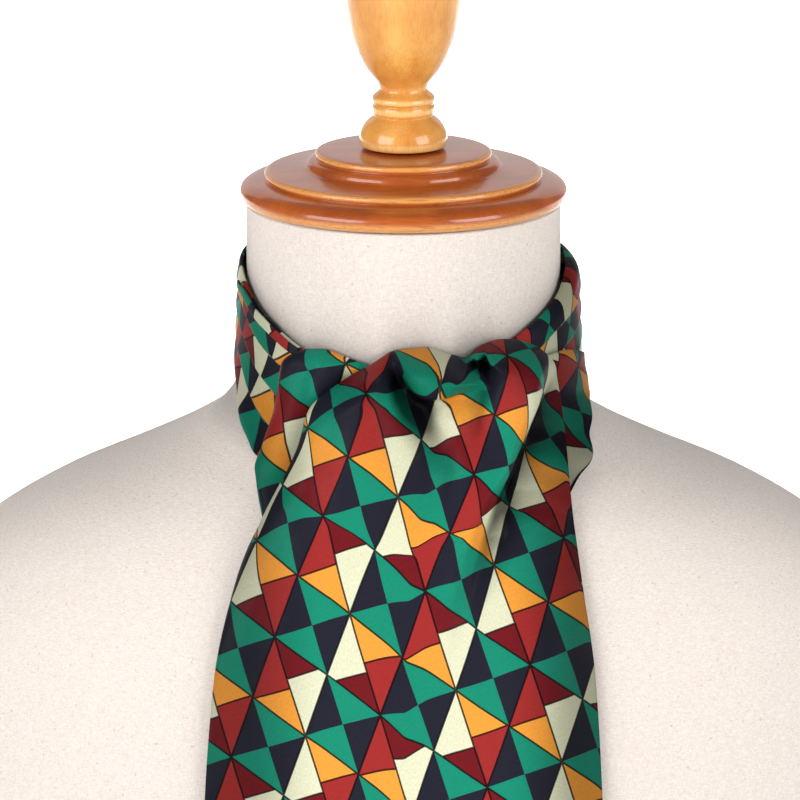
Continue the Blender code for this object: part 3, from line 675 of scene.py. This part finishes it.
def flat_map(face):
    """The cloth laid flat, as near to its true lengths as one flat piece can be."""
    face = face.copy()
    for _ in range(36):  # pinched folds are eased a little first, as one would pull them out by hand
        face[1:-1, 1:-1] += 0.25 * (face[1:-1, 2:] + face[1:-1, :-2] - 2 * face[1:-1, 1:-1])
        face[1:-1, 1:-1] += 0.25 * (face[2:, 1:-1] + face[:-2, 1:-1] - 2 * face[1:-1, 1:-1])
    turn, radius = np.arctan2(face[..., 0], -face[..., 1]), np.hypot(face[..., 0], face[..., 1])
    flat = np.stack([turn * radius.mean(), face[..., 2] - face[0, 0, 2]], axis=2)
    for step, rounds in ((24, 600), (12, 900), (6, 900), (3, 500)):
        picks, spreads = [], []
        for count in face.shape[:2]:
            pick = np.linspace(0, count - 1, max(3, round(count / step))).round().astype(int)
            picks.append(pick)
            shares = [np.interp(np.arange(count), pick, one) for one in np.eye(len(pick))]
            spreads.append(np.stack(shares, axis=1))
        at = np.ix_(*picks)
        net, before = face[at], flat[at]
        across = np.cumsum(np.linalg.norm(np.diff(face, axis=1, prepend=face[:, :1]), axis=2), axis=1)[at]
        deep = np.cumsum(np.linalg.norm(np.diff(face, axis=0, prepend=face[:1]), axis=2), axis=0)[at]
        springs = [  # one end, the other end, true length, stiffness
            (np.s_[:, :-1], np.s_[:, 1:], np.diff(across, axis=1), 1.0),
            (np.s_[:-1], np.s_[1:], np.diff(deep, axis=0), 1.0),
        ]
        for near, far in ((np.s_[:-1, :-1], np.s_[1:, 1:]), (np.s_[:-1, 1:], np.s_[1:, :-1])):
            springs.append((near, far, np.linalg.norm(net[far] - net[near], axis=2), 0.35))
        after = before.copy()
        for _ in range(rounds):
            pull = np.zeros_like(after)
            for near, far, true, stiffness in springs:
                gap = after[far] - after[near]
                span = np.maximum(np.linalg.norm(gap, axis=2), 1e-7)
                tug = 0.5 * stiffness * gap * (1.0 - true / span)[..., None]
                pull[near] += tug
                pull[far] -= tug
            after += 0.42 * pull
        flat = np.einsum("ia,abk,jb->ijk", spreads[0], after, spreads[1])
    return smoothed_out(flat, 80)


def shade_of_folds(face):
    """Painted shade for the cloth's colour: 1 on open cloth in front, less in a fold, on the flanks, and
    where the cloth turns up to the sky, and a little more than 1 on a crown, a painted highlight.
    """
    smooth = smoothed_out(face, 2 * FOLD_REACH**2)
    outward = np.cross(np.gradient(smooth, axis=0), np.gradient(smooth, axis=1))
    outward /= np.maximum(np.linalg.norm(outward, axis=2, keepdims=True), 1e-12)
    outward *= np.sign(np.sum(outward[..., :2] * smooth[..., :2], axis=2, keepdims=True))
    behind = np.sum((smooth - face) * outward, axis=2) / MM
    # painted shade: the flanks, the right one more, and cloth that faces up are painted darker, as light from
    # in front leaves them
    right = face[..., 0] > KNOT_X * MM
    aside = smooth_step((np.abs(face[..., 0] / MM - KNOT_X) - 32.0) / 30.0)
    flank = aside * smooth_step((30.0 - face[..., 1] / MM) / 60.0)
    lying = smooth_step(outward[..., 2] / 0.9)
    shade = np.clip(1.02 - 0.24 * behind, 0.16, 1.12) * (1.0 - np.where(right, 0.62, 0.45) * flank)
    return shade * (1.0 - 0.45 * lying)


def lay(name, face, thickness, grain_turn, print_start, node, flat=None):
    """Lays a grid of cloth on its face, a rows x columns array of points, and returns the piece."""
    rows, columns = face.shape[:2]
    flat = flat_map(face) if flat is None else flat
    turn = math.radians(grain_turn)
    map_x = flat[..., 0] * math.cos(turn) + flat[..., 1] * math.sin(turn) + print_start[0]
    map_y = flat[..., 1] * math.cos(turn) - flat[..., 0] * math.sin(turn) + print_start[1]

    bm = bmesh.new()
    bmesh.ops.create_grid(bm, x_segments=columns - 1, y_segments=rows - 1, size=0.5)
    places = [(round((0.5 - v.co.y) * (rows - 1)), round((v.co.x + 0.5) * (columns - 1))) for v in bm.verts]
    cloth_map = bm.loops.layers.uv.new("cloth_map")
    # each point carries its painted light and shade
    painted_light_and_shade, shade = bm.verts.layers.float.new("painted_light_and_shade"), shade_of_folds(face)
    for vert, at in zip(bm.verts, places):
        vert.co, vert[painted_light_and_shade] = face[at], shade[at]
        for loop in vert.link_loops:
            loop[cloth_map].uv = (map_x[at], map_y[at])
    bm.normal_update()
    middles = [(quad.normal, quad.calc_center_median()) for quad in bm.faces]
    if sum(normal.x * middle.x + normal.y * middle.y for normal, middle in middles) < 0:
        bmesh.ops.reverse_faces(bm, faces=bm.faces)
    piece = finished(name, bm, silk_finish)
    doubled = piece.modifiers.new("two_silks", "SOLIDIFY")
    doubled.thickness = thickness * MM
    doubled.offset = -1.0
    edge = piece.modifiers.new("turned_edge", "BEVEL")
    edge.width = 0.32 * thickness * MM
    edge.segments = 2
    edge.limit_method = "ANGLE"
    edge.angle_limit = math.radians(78.0)
    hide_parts(node)
    down, across = face[1:, :-1] - face[:-1, :-1], face[:-1, 1:] - face[:-1, :-1]
    area = float(np.linalg.norm(np.cross(down, across), axis=2).sum())
    print(name, rows, "x", columns, "points,", round(area * 1e4, 1), "square centimetres of cloth")
    return piece


# %% [markdown]
# ## The pleated neckband
# The middle of the cravat is laid in narrow knife pleats and sewn through, so that it lies flat under a
# collar. Each pleat is a slow rise and a sudden fall, so the band's face is a soft saw-tooth from edge to
# edge, and the print jumps at each fall by the cloth that the pleat hides. The band stands well off the
# linen at the wearer's left, where a finger would slip in.

# %% Neckband
# degrees from the front round by the right ear and the nape, height of the top edge, of the foot, swell
BAND_PLACES = [
    (34, -47, -88, 4.4), (44, -42.4, -86, 4.4), (51, -38.8, -82, 4.4), (60, -34.8, -77, 4.2),
    (69, -30.2, -71, 3.8), (76, -26.8, -66, 3.6), (85, -23.6, -61, 3.6), (95, -21.4, -57, 3.6),
    (110, -20.2, -54, 3.4), (135, -19, -53, 3.3), (180, -18, -52, 3.3), (225, -18.6, -53, 3.8),
    (250, -19.8, -54, 5.2), (260, -21, -56, 6.6), (270, -23, -59, 7.6), (282, -27, -64, 7.4),
    (289, -30.6, -68, 7), (299, -34.6, -74, 6.2), (308, -38, -80, 5.6), (316, -41.2, -84, 5),
    (328, -47, -90, 4.4),
]  # fmt: skip
BAND_TURNS = (34.0, 328.0)
BAND_PLEATS, PLEAT_DEPTH, BAND_EDGE_ROUND = 4, 1.25, 5.0
PLEAT_RISES, PLEAT_FALLS = 0.86, 0.14  # shares of a pleat
PLEAT_HIDES = 0.0135  # cloth that each pleat hides, in metres


def band_wander(turn):
    """How the pleats wander up and down along the band, as a share of a pleat."""
    return 0.09 * np.sin(np.radians(turn) * 5.0) + 0.05 * np.sin(np.radians(turn) * 11.0 + 1.0)


def band_off(turn, height):
    """How far the band stands off the linen, and how far the place is inside the band's edges."""
    top, foot = curve(BAND_PLACES, 1, turn), curve(BAND_PLACES, 2, turn)
    inside = np.minimum(top - height, height - foot)
    down = np.clip((top - height) / (top - foot), 0.0, 1.0)
    share = (down * BAND_PLEATS + band_wander(turn)) % 1.0
    tooth = np.where(share < PLEAT_RISES, share / PLEAT_RISES, (1.0 - share) / PLEAT_FALLS) - 0.5
    pleat = PLEAT_DEPTH * tooth * smooth_step(down * 5.0)
    low = SEAM_GAP + BAND_SILK + 0.2
    swell = curve(BAND_PLACES, 3, turn) + pleat - 0.3
    return low + np.maximum(swell - low, 0.1) * ramp(inside, BAND_EDGE_ROUND), inside


def band_layer(bearing, height):
    """The band as the stretches over it feel it."""
    turn = np.where(bearing < 0, -bearing, 360.0 - bearing)
    off, inside = band_off(np.clip(turn, *BAND_TURNS), height)
    there = (inside > 0) & (turn > BAND_TURNS[0] - 1.0) & (turn < BAND_TURNS[1] + 1.0)
    return np.where(there, off + 0.3, 0.0)


turn = np.linspace(*BAND_TURNS, 400)[None, :]
down = crowd(84, 0.3)[:, None]
height = curve(BAND_PLACES, 1, turn) * (1 - down) + curve(BAND_PLACES, 2, turn) * down
turn = np.broadcast_to(turn, height.shape)
off, _ = band_off(turn, height)
face = placed(-turn, height, stand_off(-turn, height, off))
flat = row_map(face)
flat[..., 1] -= PLEAT_HIDES * np.clip(np.floor(down * BAND_PLEATS + band_wander(turn)), 0, BAND_PLEATS - 1)
neckband = lay("neckband", face, BAND_SILK, 52.0, (0.012, 0.004), "neck_band", flat)

# %% [markdown]
# ## The strip turned over the band's edge
# On the wearer's right the band's top edge is turned over once more and stitched down, which leaves a
# narrow welt along the edge. It is a small stretch of its own on the band's face, and its end behind the ear
# is tucked down.

# %% Turned strip
STRIP_TURNS, STRIP_WIDTH = (37.0, 78.0), 3.6
TUCK_START, TUCK_REACH = 67.0, 10.0  # degrees at which the end starts to be tucked, and over how many
turn = np.linspace(*STRIP_TURNS, 120)[None, :]
down = np.linspace(0.0, 1.0, 16)[:, None]
tucked = smooth_step((turn - TUCK_START) / TUCK_REACH)
height = curve(BAND_PLACES, 1, turn) + 0.7 - 2.6 * tucked - (STRIP_WIDTH - 1.8 * tucked) * down
turn = np.broadcast_to(turn, height.shape)
off, _ = band_off(turn, np.minimum(height, curve(BAND_PLACES, 1, turn) - 1.2))
rolled = np.sin(math.pi * down)
welt = 0.35 * rolled + 0.10 * np.sin(np.radians(turn) * 38.0) * rolled
off = off + SEAM_GAP + STRIP_SILK + 0.25 + welt * (1.0 - tucked)
face = placed(-turn, height, stand_off(-turn, height, off))


def strip_layer(bearing, height):
    """The strip as the stretches over it feel it."""
    turn = np.clip(-bearing, *STRIP_TURNS)
    top = curve(BAND_PLACES, 1, turn)
    there = (-bearing > STRIP_TURNS[0] - 0.8) & (-bearing < STRIP_TURNS[1])
    there = there & (height < top + 1.2) & (height > top - STRIP_WIDTH)
    return np.where(there, band_off(turn, top - 2.5)[0] + SEAM_GAP + STRIP_SILK + 0.7, 0.0)


turned_strip = lay("turned_strip", face, STRIP_SILK, 38.0, (0.004, 0.013), "turned_edge", row_map(face))

# %% [markdown]
# ## The under blade
# The other end of the cravat hangs straight down the chest below the front blade. Only its edge could ever
# be seen, so it is one plain pointed stretch that lies on the linen.

# %% Under blade
# height, bearing of the left-hand side, of the right-hand side
UNDER_SIDES = [
    (-94, -18, 41), (-120, -28, 38), (-160, -31, 33.5), (-215, -30, 30), (-300, -29, 29),
]  # fmt: skip
UNDER_TOP, UNDER_POINT, UNDER_CORNER, UNDER_OFF = -95.0, -280.0, -224.0, 2.2


def under_layer(bearing, height):
    """The under blade as the stretches over it feel it: a plain step all round the chest."""
    return np.where(height < UNDER_TOP + 2.0, UNDER_OFF, 0.0)


across = np.linspace(0.0, 1.0, 60)[None, :]
down = np.linspace(0.0, 1.0, 90)[:, None]
hem = pointed_hem(across, UNDER_CORNER, UNDER_POINT)
height = UNDER_TOP + (hem - UNDER_TOP) * down
left, right = curves(UNDER_SIDES, height)
bearing = left + (right - left) * across
face = placed(bearing, height, stand_off(bearing, height, UNDER_OFF))
under_blade = lay("under_blade_silk", face, SILK, 0.0, (0.0, 0.01), "under_blade")

# %% [markdown]
# ## The wrap across the throat
# Where the band ends, the first blade opens out of its pleats and crosses the throat. Its left-hand side is
# a full, soft fold, and towards the middle it dips where the second blade lies on it.

# %% Wrap
WRAP_SIDES = [  # height, bearing of the fold, of the hidden end
    (-44, -38, 22), (-50, -41.5, 24), (-76, -42, 26), (-86, -41, 26), (-96, -37.5, 24), (-112, -31, 22),
]  # fmt: skip
WRAP_TOP = [  # bearing, height of the top edge
    (-42.5, -52.4), (-41, -49.6), (-37.7, -46.8), (-32, -44.2), (-28, -44.3), (-24, -45.2), (-19, -46.8),
    (-9.5, -50), (-3, -57), (26, -70),
]  # fmt: skip
WRAP_FOOT = -108.0
WRAP_SWELL = [  # bearing, how far the crown stands off the linen
    (-43, 12.2), (-38, 12.6), (-31, 10.8), (-24, 8.6), (-14, 7.2), (-4, 6), (26, 5.6),
]  # fmt: skip
WRAP_FLATTENS = [(-44, 1), (-76, 1), (-92, 0.72), (-108, 0.42)]
WRAP_FOLDS = [
    [  # crown along the left-hand fold
        (-35, -47, 4.5, 4.5, 0.8), (-40, -64, 4.5, 4.5, 1.6), (-46, -84, 5, 5, 0.8), (-48, -96, 5, 5, 0),
    ],
    [  # valley where the blade lies on the wrap
        (-10, -48, 4.5, 4, -2), (-19, -56, 6, 5, -4.6), (-29, -68, 6, 5, -4.6), (-38, -84, 5, 5, -2),
        (-42, -94, 5, 5, 0),
    ],
    [  # the swell between them
        (-25, -45, 4, 4, 1), (-30, -54, 4, 4, 1.2), (-34, -64, 4, 4, 0),
    ],
    [  # small crease beside the fold
        (-31, -45, 1.6, 2.4, -0.4), (-34.5, -56, 1.8, 2.6, -0.9), (-38, -70, 2, 3, 0),
    ],
    [(-20, -45, 1.4, 2.2, -0.3), (-22, -52, 1.4, 2.2, -0.8), (-24.5, -62, 1.4, 2.2, 0)],
]  # fmt: skip
WRAP_ENDS, WRAP_EDGE_ROUND = (-42.0, 24.0), 6.0
on_band = Floor((band_layer, strip_layer, under_layer))


def wrap_off(bearing, height):
    """How far the wrap stands off the linen, and how far the place is inside the wrap's edges."""
    top = curve(WRAP_TOP, 1, bearing)
    left, right = curves(WRAP_SIDES, height)
    radius = linen(bearing, height)
    full = curve(WRAP_SWELL, 1, bearing) * curve(WRAP_FLATTENS, 1, height)
    across = (radius + full) * np.sin(np.radians(bearing))
    full = full + folds(across, height, WRAP_FOLDS) + 0.25 * ripples(across, height, 18.0, 5)
    low = LAID_OVER + on_band(bearing, height)
    from_side = np.radians(bearing - left) * radius
    inside = np.minimum(np.minimum(top - height, height - WRAP_FOOT), from_side)
    inside = np.minimum(inside, np.radians(right - bearing) * radius)
    return swollen(low, full, (top - height, WRAP_EDGE_ROUND), (from_side, WRAP_EDGE_ROUND)), inside


across = crowd(130, 0.6)[None, :]
down = crowd(120, 0.5)[:, None]
bearing = WRAP_ENDS[0] + (WRAP_ENDS[1] - WRAP_ENDS[0]) * across + 0.0 * down
height = curve(WRAP_TOP, 1, bearing) * (1 - down) + WRAP_FOOT * down
for _ in range(3):  # the sides depend on the height and the top on the bearing, so both are found in turns
    left, right = curves(WRAP_SIDES, height)
    bearing = left + (right - left) * across
    height = curve(WRAP_TOP, 1, bearing) * (1 - down) + WRAP_FOOT * down
off, _ = wrap_off(bearing, height)
face = placed(bearing, height, stand_off(bearing, height, off))
throat_wrap = lay("throat_wrap", face, SILK, 16.0, (0.006, 0.010), "cross_wrap")

# %% [markdown]
# ## The turn at the right
# On the other side the cloth leaves the band and goes down behind the blade's right-hand lobe. It lies in
# the lobe's shade, so its job is to be a dark, round turn of cloth and not a flat patch.

# %% Turn at the right
TURN_PLACES = [  # bearing, height of the top edge, of the foot, stand-off
    (28, -60, -106, 6.4), (38, -54.5, -101, 7.8), (48, -50.5, -90, 9.2), (58, -49.8, -80, 10),
    (68, -52, -72.5, 10), (76, -55, -68, 9.8),
]  # fmt: skip
TURN_ENDS, TURN_EDGE_ROUND = (28.0, 76.0), 4.0
TURN_RADIUS = 66.0  # about how far the turn is from the neck's axis


def turn_off(bearing, height):
    """How far the turn stands off the linen, and how far the place is inside the turn's edges."""
    top, foot, swell = curves(TURN_PLACES, bearing)
    low = LAID_OVER + on_band(bearing, height)
    full = swell * (1 - 0.55 * smooth_step((-80.0 - height) / 24.0))
    creases = 0.4 * np.sin((height + 0.45 * bearing) * math.tau / 17.0)
    full = full + creases * smooth_step((-56.0 - height) / 10.0)
    ends = np.radians(np.minimum(bearing - TURN_ENDS[0], TURN_ENDS[1] - bearing)) * TURN_RADIUS
    inside = np.minimum(np.minimum(top - height, height - foot), ends)
    return swollen(low, full, (top - height, TURN_EDGE_ROUND), (ends, TURN_EDGE_ROUND)), inside


across = crowd(90, 0.5)[None, :]
down = crowd(80, 0.5)[:, None]
bearing = TURN_ENDS[0] + (TURN_ENDS[1] - TURN_ENDS[0]) * across + 0.0 * down
top, foot, _ = curves(TURN_PLACES, bearing)
height = top + (foot - top) * down
off, _ = turn_off(bearing, height)
face = placed(bearing, height, stand_off(bearing, height, off))
side_turn = lay("side_turn", face, SILK, -24.0, (0.008, 0.0), "right_turn")

# %% [markdown]
# ## The front blade
# This is the stretch that everyone sees. The second blade comes up behind the wrap, rolls over it and falls
# down the chest to a point. Where it rolls over it is bunched: a full drape on the left, a deep valley that
# runs down and to the right, a bolster in the middle with a hollow below it, a pocket, and a lobe whose
# ridge runs down the right-hand side. All of these are folds of one cloth, so they are rows of one table.

# %% Front blade measurements
BLADE_SIDES = [  # height, x of the left-hand side, x of the right-hand side
    (-36, -10.5, 57), (-44.5, -10.5, 57), (-48, -12.5, 57), (-51.5, -19, 57.2), (-55.4, -25, 57.4),
    (-59.5, -30.5, 58), (-65, -35.2, 58.8), (-78.5, -39.5, 60.5), (-100, -51, 62.5), (-125, -62, 66),
    (-160, -70, 71), (-215, -74, 74), (-300, -76, 76),
]  # fmt: skip
BLADE_TOP = [  # x, height of the roll's outline, reach of its rounding
    (-10.5, -48.5, 8), (-8, -45.8, 8), (-5, -43.8, 8), (-1.3, -42.8, 8.5), (4, -42.2, 9), (8, -42, 9),
    (12, -43, 8.5), (15.5, -44.5, 7), (19.5, -45.8, 5.5), (23.4, -46.8, 4.2), (25.2, -45.6, 3.6),
    (26.8, -43.9, 3.4), (29.6, -42.5, 4.2), (35.7, -41.2, 8), (41, -41.6, 9), (46.9, -43.8, 9),
    (53.4, -48.3, 9), (56, -51.6, 9), (57, -55, 9),
]  # fmt: skip
BLADE_POINT, BLADE_CORNER = -292.0, -232.0
BLADE_BODY = [  # height, stand-off at the crown, x of the ridge, fall beyond the ridge
    (-38, 17.5, 56, 3), (-48, 19.5, 55, 5.5), (-58, 20.5, 50.5, 9), (-70, 20.4, 45, 12.5),
    (-82, 19.4, 39, 13), (-96, 16.8, 31, 11), (-116, 12.2, 23.5, 7), (-135, 8.6, 18, 3.4),
    (-160, 6, 14, 0.8), (-200, 4.6, 10, 0), (-300, 4.3, 10, 0),
]  # fmt: skip
RIDGE_FALL_WIDTH = 10.0
KNOT_RADIUS = 84.0  # about how far the knot's face is from the neck's axis
BLADE_SIDE_ROUND, BLADE_HEM_ROUND = 9.0, 5.0
BLADE_FOLDS = [
    [  # the deep valley between the left-hand drape and the bolster
        (-7, -39.5, 3.6, 3.8, -8.5), (-5.2, -44.5, 4, 4.4, -10), (-3, -50, 4.8, 5, -11.5),
        (0.2, -56, 5.8, 5.2, -12), (4, -61.6, 7, 5.2, -11), (8, -67.5, 8, 5.6, -8.4),
        (11.8, -74, 9, 6.4, -5.4), (15.5, -82, 10, 7, -2.4), (19, -92, 10, 8, 0),
    ],
    [  # crown of the left-hand drape
        (-10, -45, 5, 4, 0.8), (-12.5, -50, 7, 5, 2.8), (-15, -57, 9, 7, 3.6), (-17.5, -68, 10, 10, 3),
        (-20, -84, 12, 12, 1.6), (-23, -105, 14, 14, 0),
    ],
    [  # crown of the bolster
        (-1, -46, 5, 4, 0.6), (4.5, -47, 6, 5, 3), (11, -48.6, 6.5, 5.4, 4), (17.5, -50.8, 6, 4.6, 3),
        (23, -54.5, 4, 4, 0.6),
    ],
    [  # hollow under the bolster
        (5, -61, 5, 3, -2), (10, -60, 5.5, 3.2, -5.6), (16, -59, 5.5, 3.2, -6), (22, -58, 5, 3, -4.6),
        (27, -57.2, 4, 2.8, -1.8),
    ],
    [  # the pocket
        (20.6, -45.2, 2.6, 2.6, -2.5), (23.2, -46.8, 2.8, 2.6, -9), (26.2, -47.9, 3, 2.8, -14),
        (29.4, -48.4, 3.2, 2.8, -14), (31.2, -50.2, 2.4, 2.4, -7), (31, -54.5, 2.6, 2.6, -2),
    ],
    [  # the pocket's lip
        (16, -47.6, 1.8, 1.8, 0), (20, -51, 2.2, 1.8, 1.6), (25, -53.2, 2.4, 1.8, 2.2),
        (30, -54.2, 2.2, 1.8, 0.8),
    ],
    [  # the cleft between the small curl and the lobe
        (30.2, -43.4, 1.3, 1.1, -3), (30.9, -45.8, 1.5, 1.2, -8), (31, -49, 1.8, 1.4, -5),
    ],
    [  # crown of the lobe
        (33.5, -45, 3.5, 5, 1.5), (37.5, -47.5, 4, 6, 3.2), (40.5, -52, 5, 7, 4), (40.5, -59, 5.5, 7, 3.4),
        (38, -69, 6, 7, 2.4), (34.5, -83, 7, 8, 1), (30, -97, 8, 8, 0),
    ],
    [  # trough going down from the pocket
        (31, -54, 4, 3, -2), (29, -59, 5, 3.6, -4.2), (27.4, -67, 5.5, 4, -3.4), (26.5, -80, 6, 5, 0),
    ],
    [  # the ridge down the right-hand side
        (48.5, -54, 4, 2.4, 0.5), (46.8, -63, 4, 2.4, 1.6), (38.6, -80, 4.5, 2.8, 2.2),
        (28.9, -100, 5, 3.4, 2), (20, -127, 7, 6, 1), (16, -150, 8, 8, 0),
    ],
    [(-7, -62, 3, 4, 0), (-5, -76, 3, 5, -0.9), (-4, -92, 4, 6, 0)],
    [(-26, -62, 3, 4, 0), (-31, -78, 3.5, 5, -1.4), (-37, -104, 5, 7, 0)],
    [(20, -68, 3, 3, 0), (17, -84, 3.5, 4.5, -1), (11, -106, 5, 6, 0)],
    [(-34, -100, 9, 9, 0.4), (-42, -140, 9, 10, 1.6), (-46, -215, 12, 12, 0)],
    [(24, -130, 9, 10, 0.2), (27, -165, 9, 10, 1.3), (31, -225, 12, 12, 0)],
    [(-6, -120, 9, 10, 0.2), (-7, -165, 12, 12, 1.1), (-9, -250, 14, 14, 0)],
    [(48, -120, 6, 8, 0), (54, -160, 6, 9, 1.4), (58, -220, 9, 9, 0.2)],
]  # fmt: skip
BLADE_LEANS = [  # where proud cloth leans over a hollow: x, height, reach in x and in height, shift in both
    (29, -45, 3.6, 3.2, -4.6, -0.6), (4, -50, 4, 6.5, -1, -0.6), (13, -54.5, 9, 4, 0, -1.8),
    (24, -55, 6, 3.5, 0.4, 2), (48, -66, 6, 14, 2.6, 0), (38, -86, 6, 14, 2.2, 0),
]  # fmt: skip
on_all = Floor((band_layer, strip_layer, under_layer, layer_of(wrap_off), layer_of(turn_off)))
print("folds of the front blade:", len(BLADE_FOLDS))


# %% Front blade
def blade_face(across, height, top, top_round, left_gap, right_gap, hem_gap):
    """Bearing and radius of the blade's face, worked out together because each needs the other."""
    bearing = np.degrees(np.arctan2(across, KNOT_RADIUS))
    crown, ridge, fall = curves(BLADE_BODY, height)
    crown = crown - fall * smooth_step((across - ridge) / RIDGE_FALL_WIDTH + 0.35)
    crown = crown + folds(across, height, BLADE_FOLDS)
    crown = crown + 0.35 * ripples(across, height, 26.0, 11) + 0.12 * ripples(across, height, 9.0, 3)
    crown = crown - 0.3 * np.exp(-(((hem_gap - 7.0) / 0.9) ** 2))  # the line of the hem's stitching
    edges = [(top - height, top_round), (left_gap, BLADE_SIDE_ROUND)]
    edges += [(right_gap, BLADE_SIDE_ROUND), (hem_gap, BLADE_HEM_ROUND)]
    for _ in range(10):
        low = LAID_OVER + on_all(bearing, height)
        radius = stand_off(bearing, height, swollen(low, crown, *edges))
        bearing = np.degrees(np.arcsin(np.clip(across / radius, -0.97, 0.97)))
    return bearing, radius


across = crowd(178, 0.3)[None, :]
# rows, as shares of the way down: crowded where the cloth rolls over, close in the knot, then ever wider
over = 0.04 * (1 - np.cos(np.linspace(0.0, math.pi / 2, 28)))
knot = np.linspace(0.0423, 0.27, 112)
fall = 0.272 + 0.728 * np.linspace(0.0, 1.0, 76) ** 1.35
down = np.concatenate([over, knot, fall])[:, None]
_, first_x, last_x = BLADE_SIDES[0]
top, top_round = curves(BLADE_TOP, first_x + (last_x - first_x) * across)
hem = pointed_hem(across, BLADE_CORNER, BLADE_POINT)
height = top + (hem - top) * down
left, right = curves(BLADE_SIDES, height)
x = left + (right - left) * across
lean = (curve(BLADE_SIDES, 1, height + 1.0) - curve(BLADE_SIDES, 1, height - 1.0)) / 2.0
left_gap = (x - left) / np.hypot(1.0, lean)
bearing, radius = blade_face(x, height, top, top_round, left_gap, right - x, height - hem)
proud = np.clip((radius - linen(bearing, height) - 9.0) / 12.0, 0.0, 1.0)
for lean_x, lean_z, reach_x, reach_z, shift_x, shift_z in BLADE_LEANS:
    share = proud * np.exp(-(((x - lean_x) / reach_x) ** 2) - ((height - lean_z) / reach_z) ** 2)
    bearing, height = bearing + np.degrees(shift_x * share / radius), height + shift_z * share
face = placed(bearing, height, radius)
front_blade = lay("front_blade_silk", face, SILK, 15.6, (-0.0011, -0.0123), "front_blade")

# %% [markdown]
# ## The shade of the cloth on the linen
# All stretches are laid now, so the form can be told where their upper edge is: its linen is darkest just
# above that edge and clears within a finger's width.

# %% Shade on the linen
NO_CLOTH = -60.0  # the edge's height where no stretch is near
ROLL_RADIUS = 82.0  # about how far the blade's roll is from the neck's axis
SHADE_DEPTH, SHADE_FADES = 0.46, 8.5  # share of light lost at the edge, and height over which it returns
shades = linen_form.data.attributes.new("cloth_shade", "FLOAT", "POINT")
points = np.array([v.co for v in linen_form.data.vertices]) / MM
bearing = np.degrees(np.arctan2(points[:, 0], -points[:, 1]))
turn = np.where(bearing < 0, -bearing, 360.0 - bearing)
roll_x = ROLL_RADIUS * np.sin(np.radians(bearing))
edges = [  # where a stretch ends upwards, and its edge's height there
    ((turn > BAND_TURNS[0]) & (turn < BAND_TURNS[1]), curve(BAND_PLACES, 1, turn)),
    (np.abs(bearing + 20.0) < 20.0, curve(WRAP_TOP, 1, bearing)),
    (np.abs(bearing - 17.0) < 25.0, curve(BLADE_TOP, 1, roll_x)),
]
edge = np.maximum.reduce([np.where(there, height, NO_CLOTH) for there, height in edges])
clear = np.maximum(points[:, 2] - CAP_HEIGHT / MM - edge, 0.0)
# the shoulders lie outside this shade
on_neck = smooth_step((78.0 - np.hypot(points[:, 0], points[:, 1])) / 12.0)
# painted shade: the linen's colour is darkened just above the cloth's top edge
shade = 1.0 - SHADE_DEPTH * np.exp(-clear / SHADE_FADES) * on_neck
shades.data.foreach_set("value", shade)
print("linen above the cloth: from", round(float(shade.min()), 2), "to", round(float(shade.max()), 2))
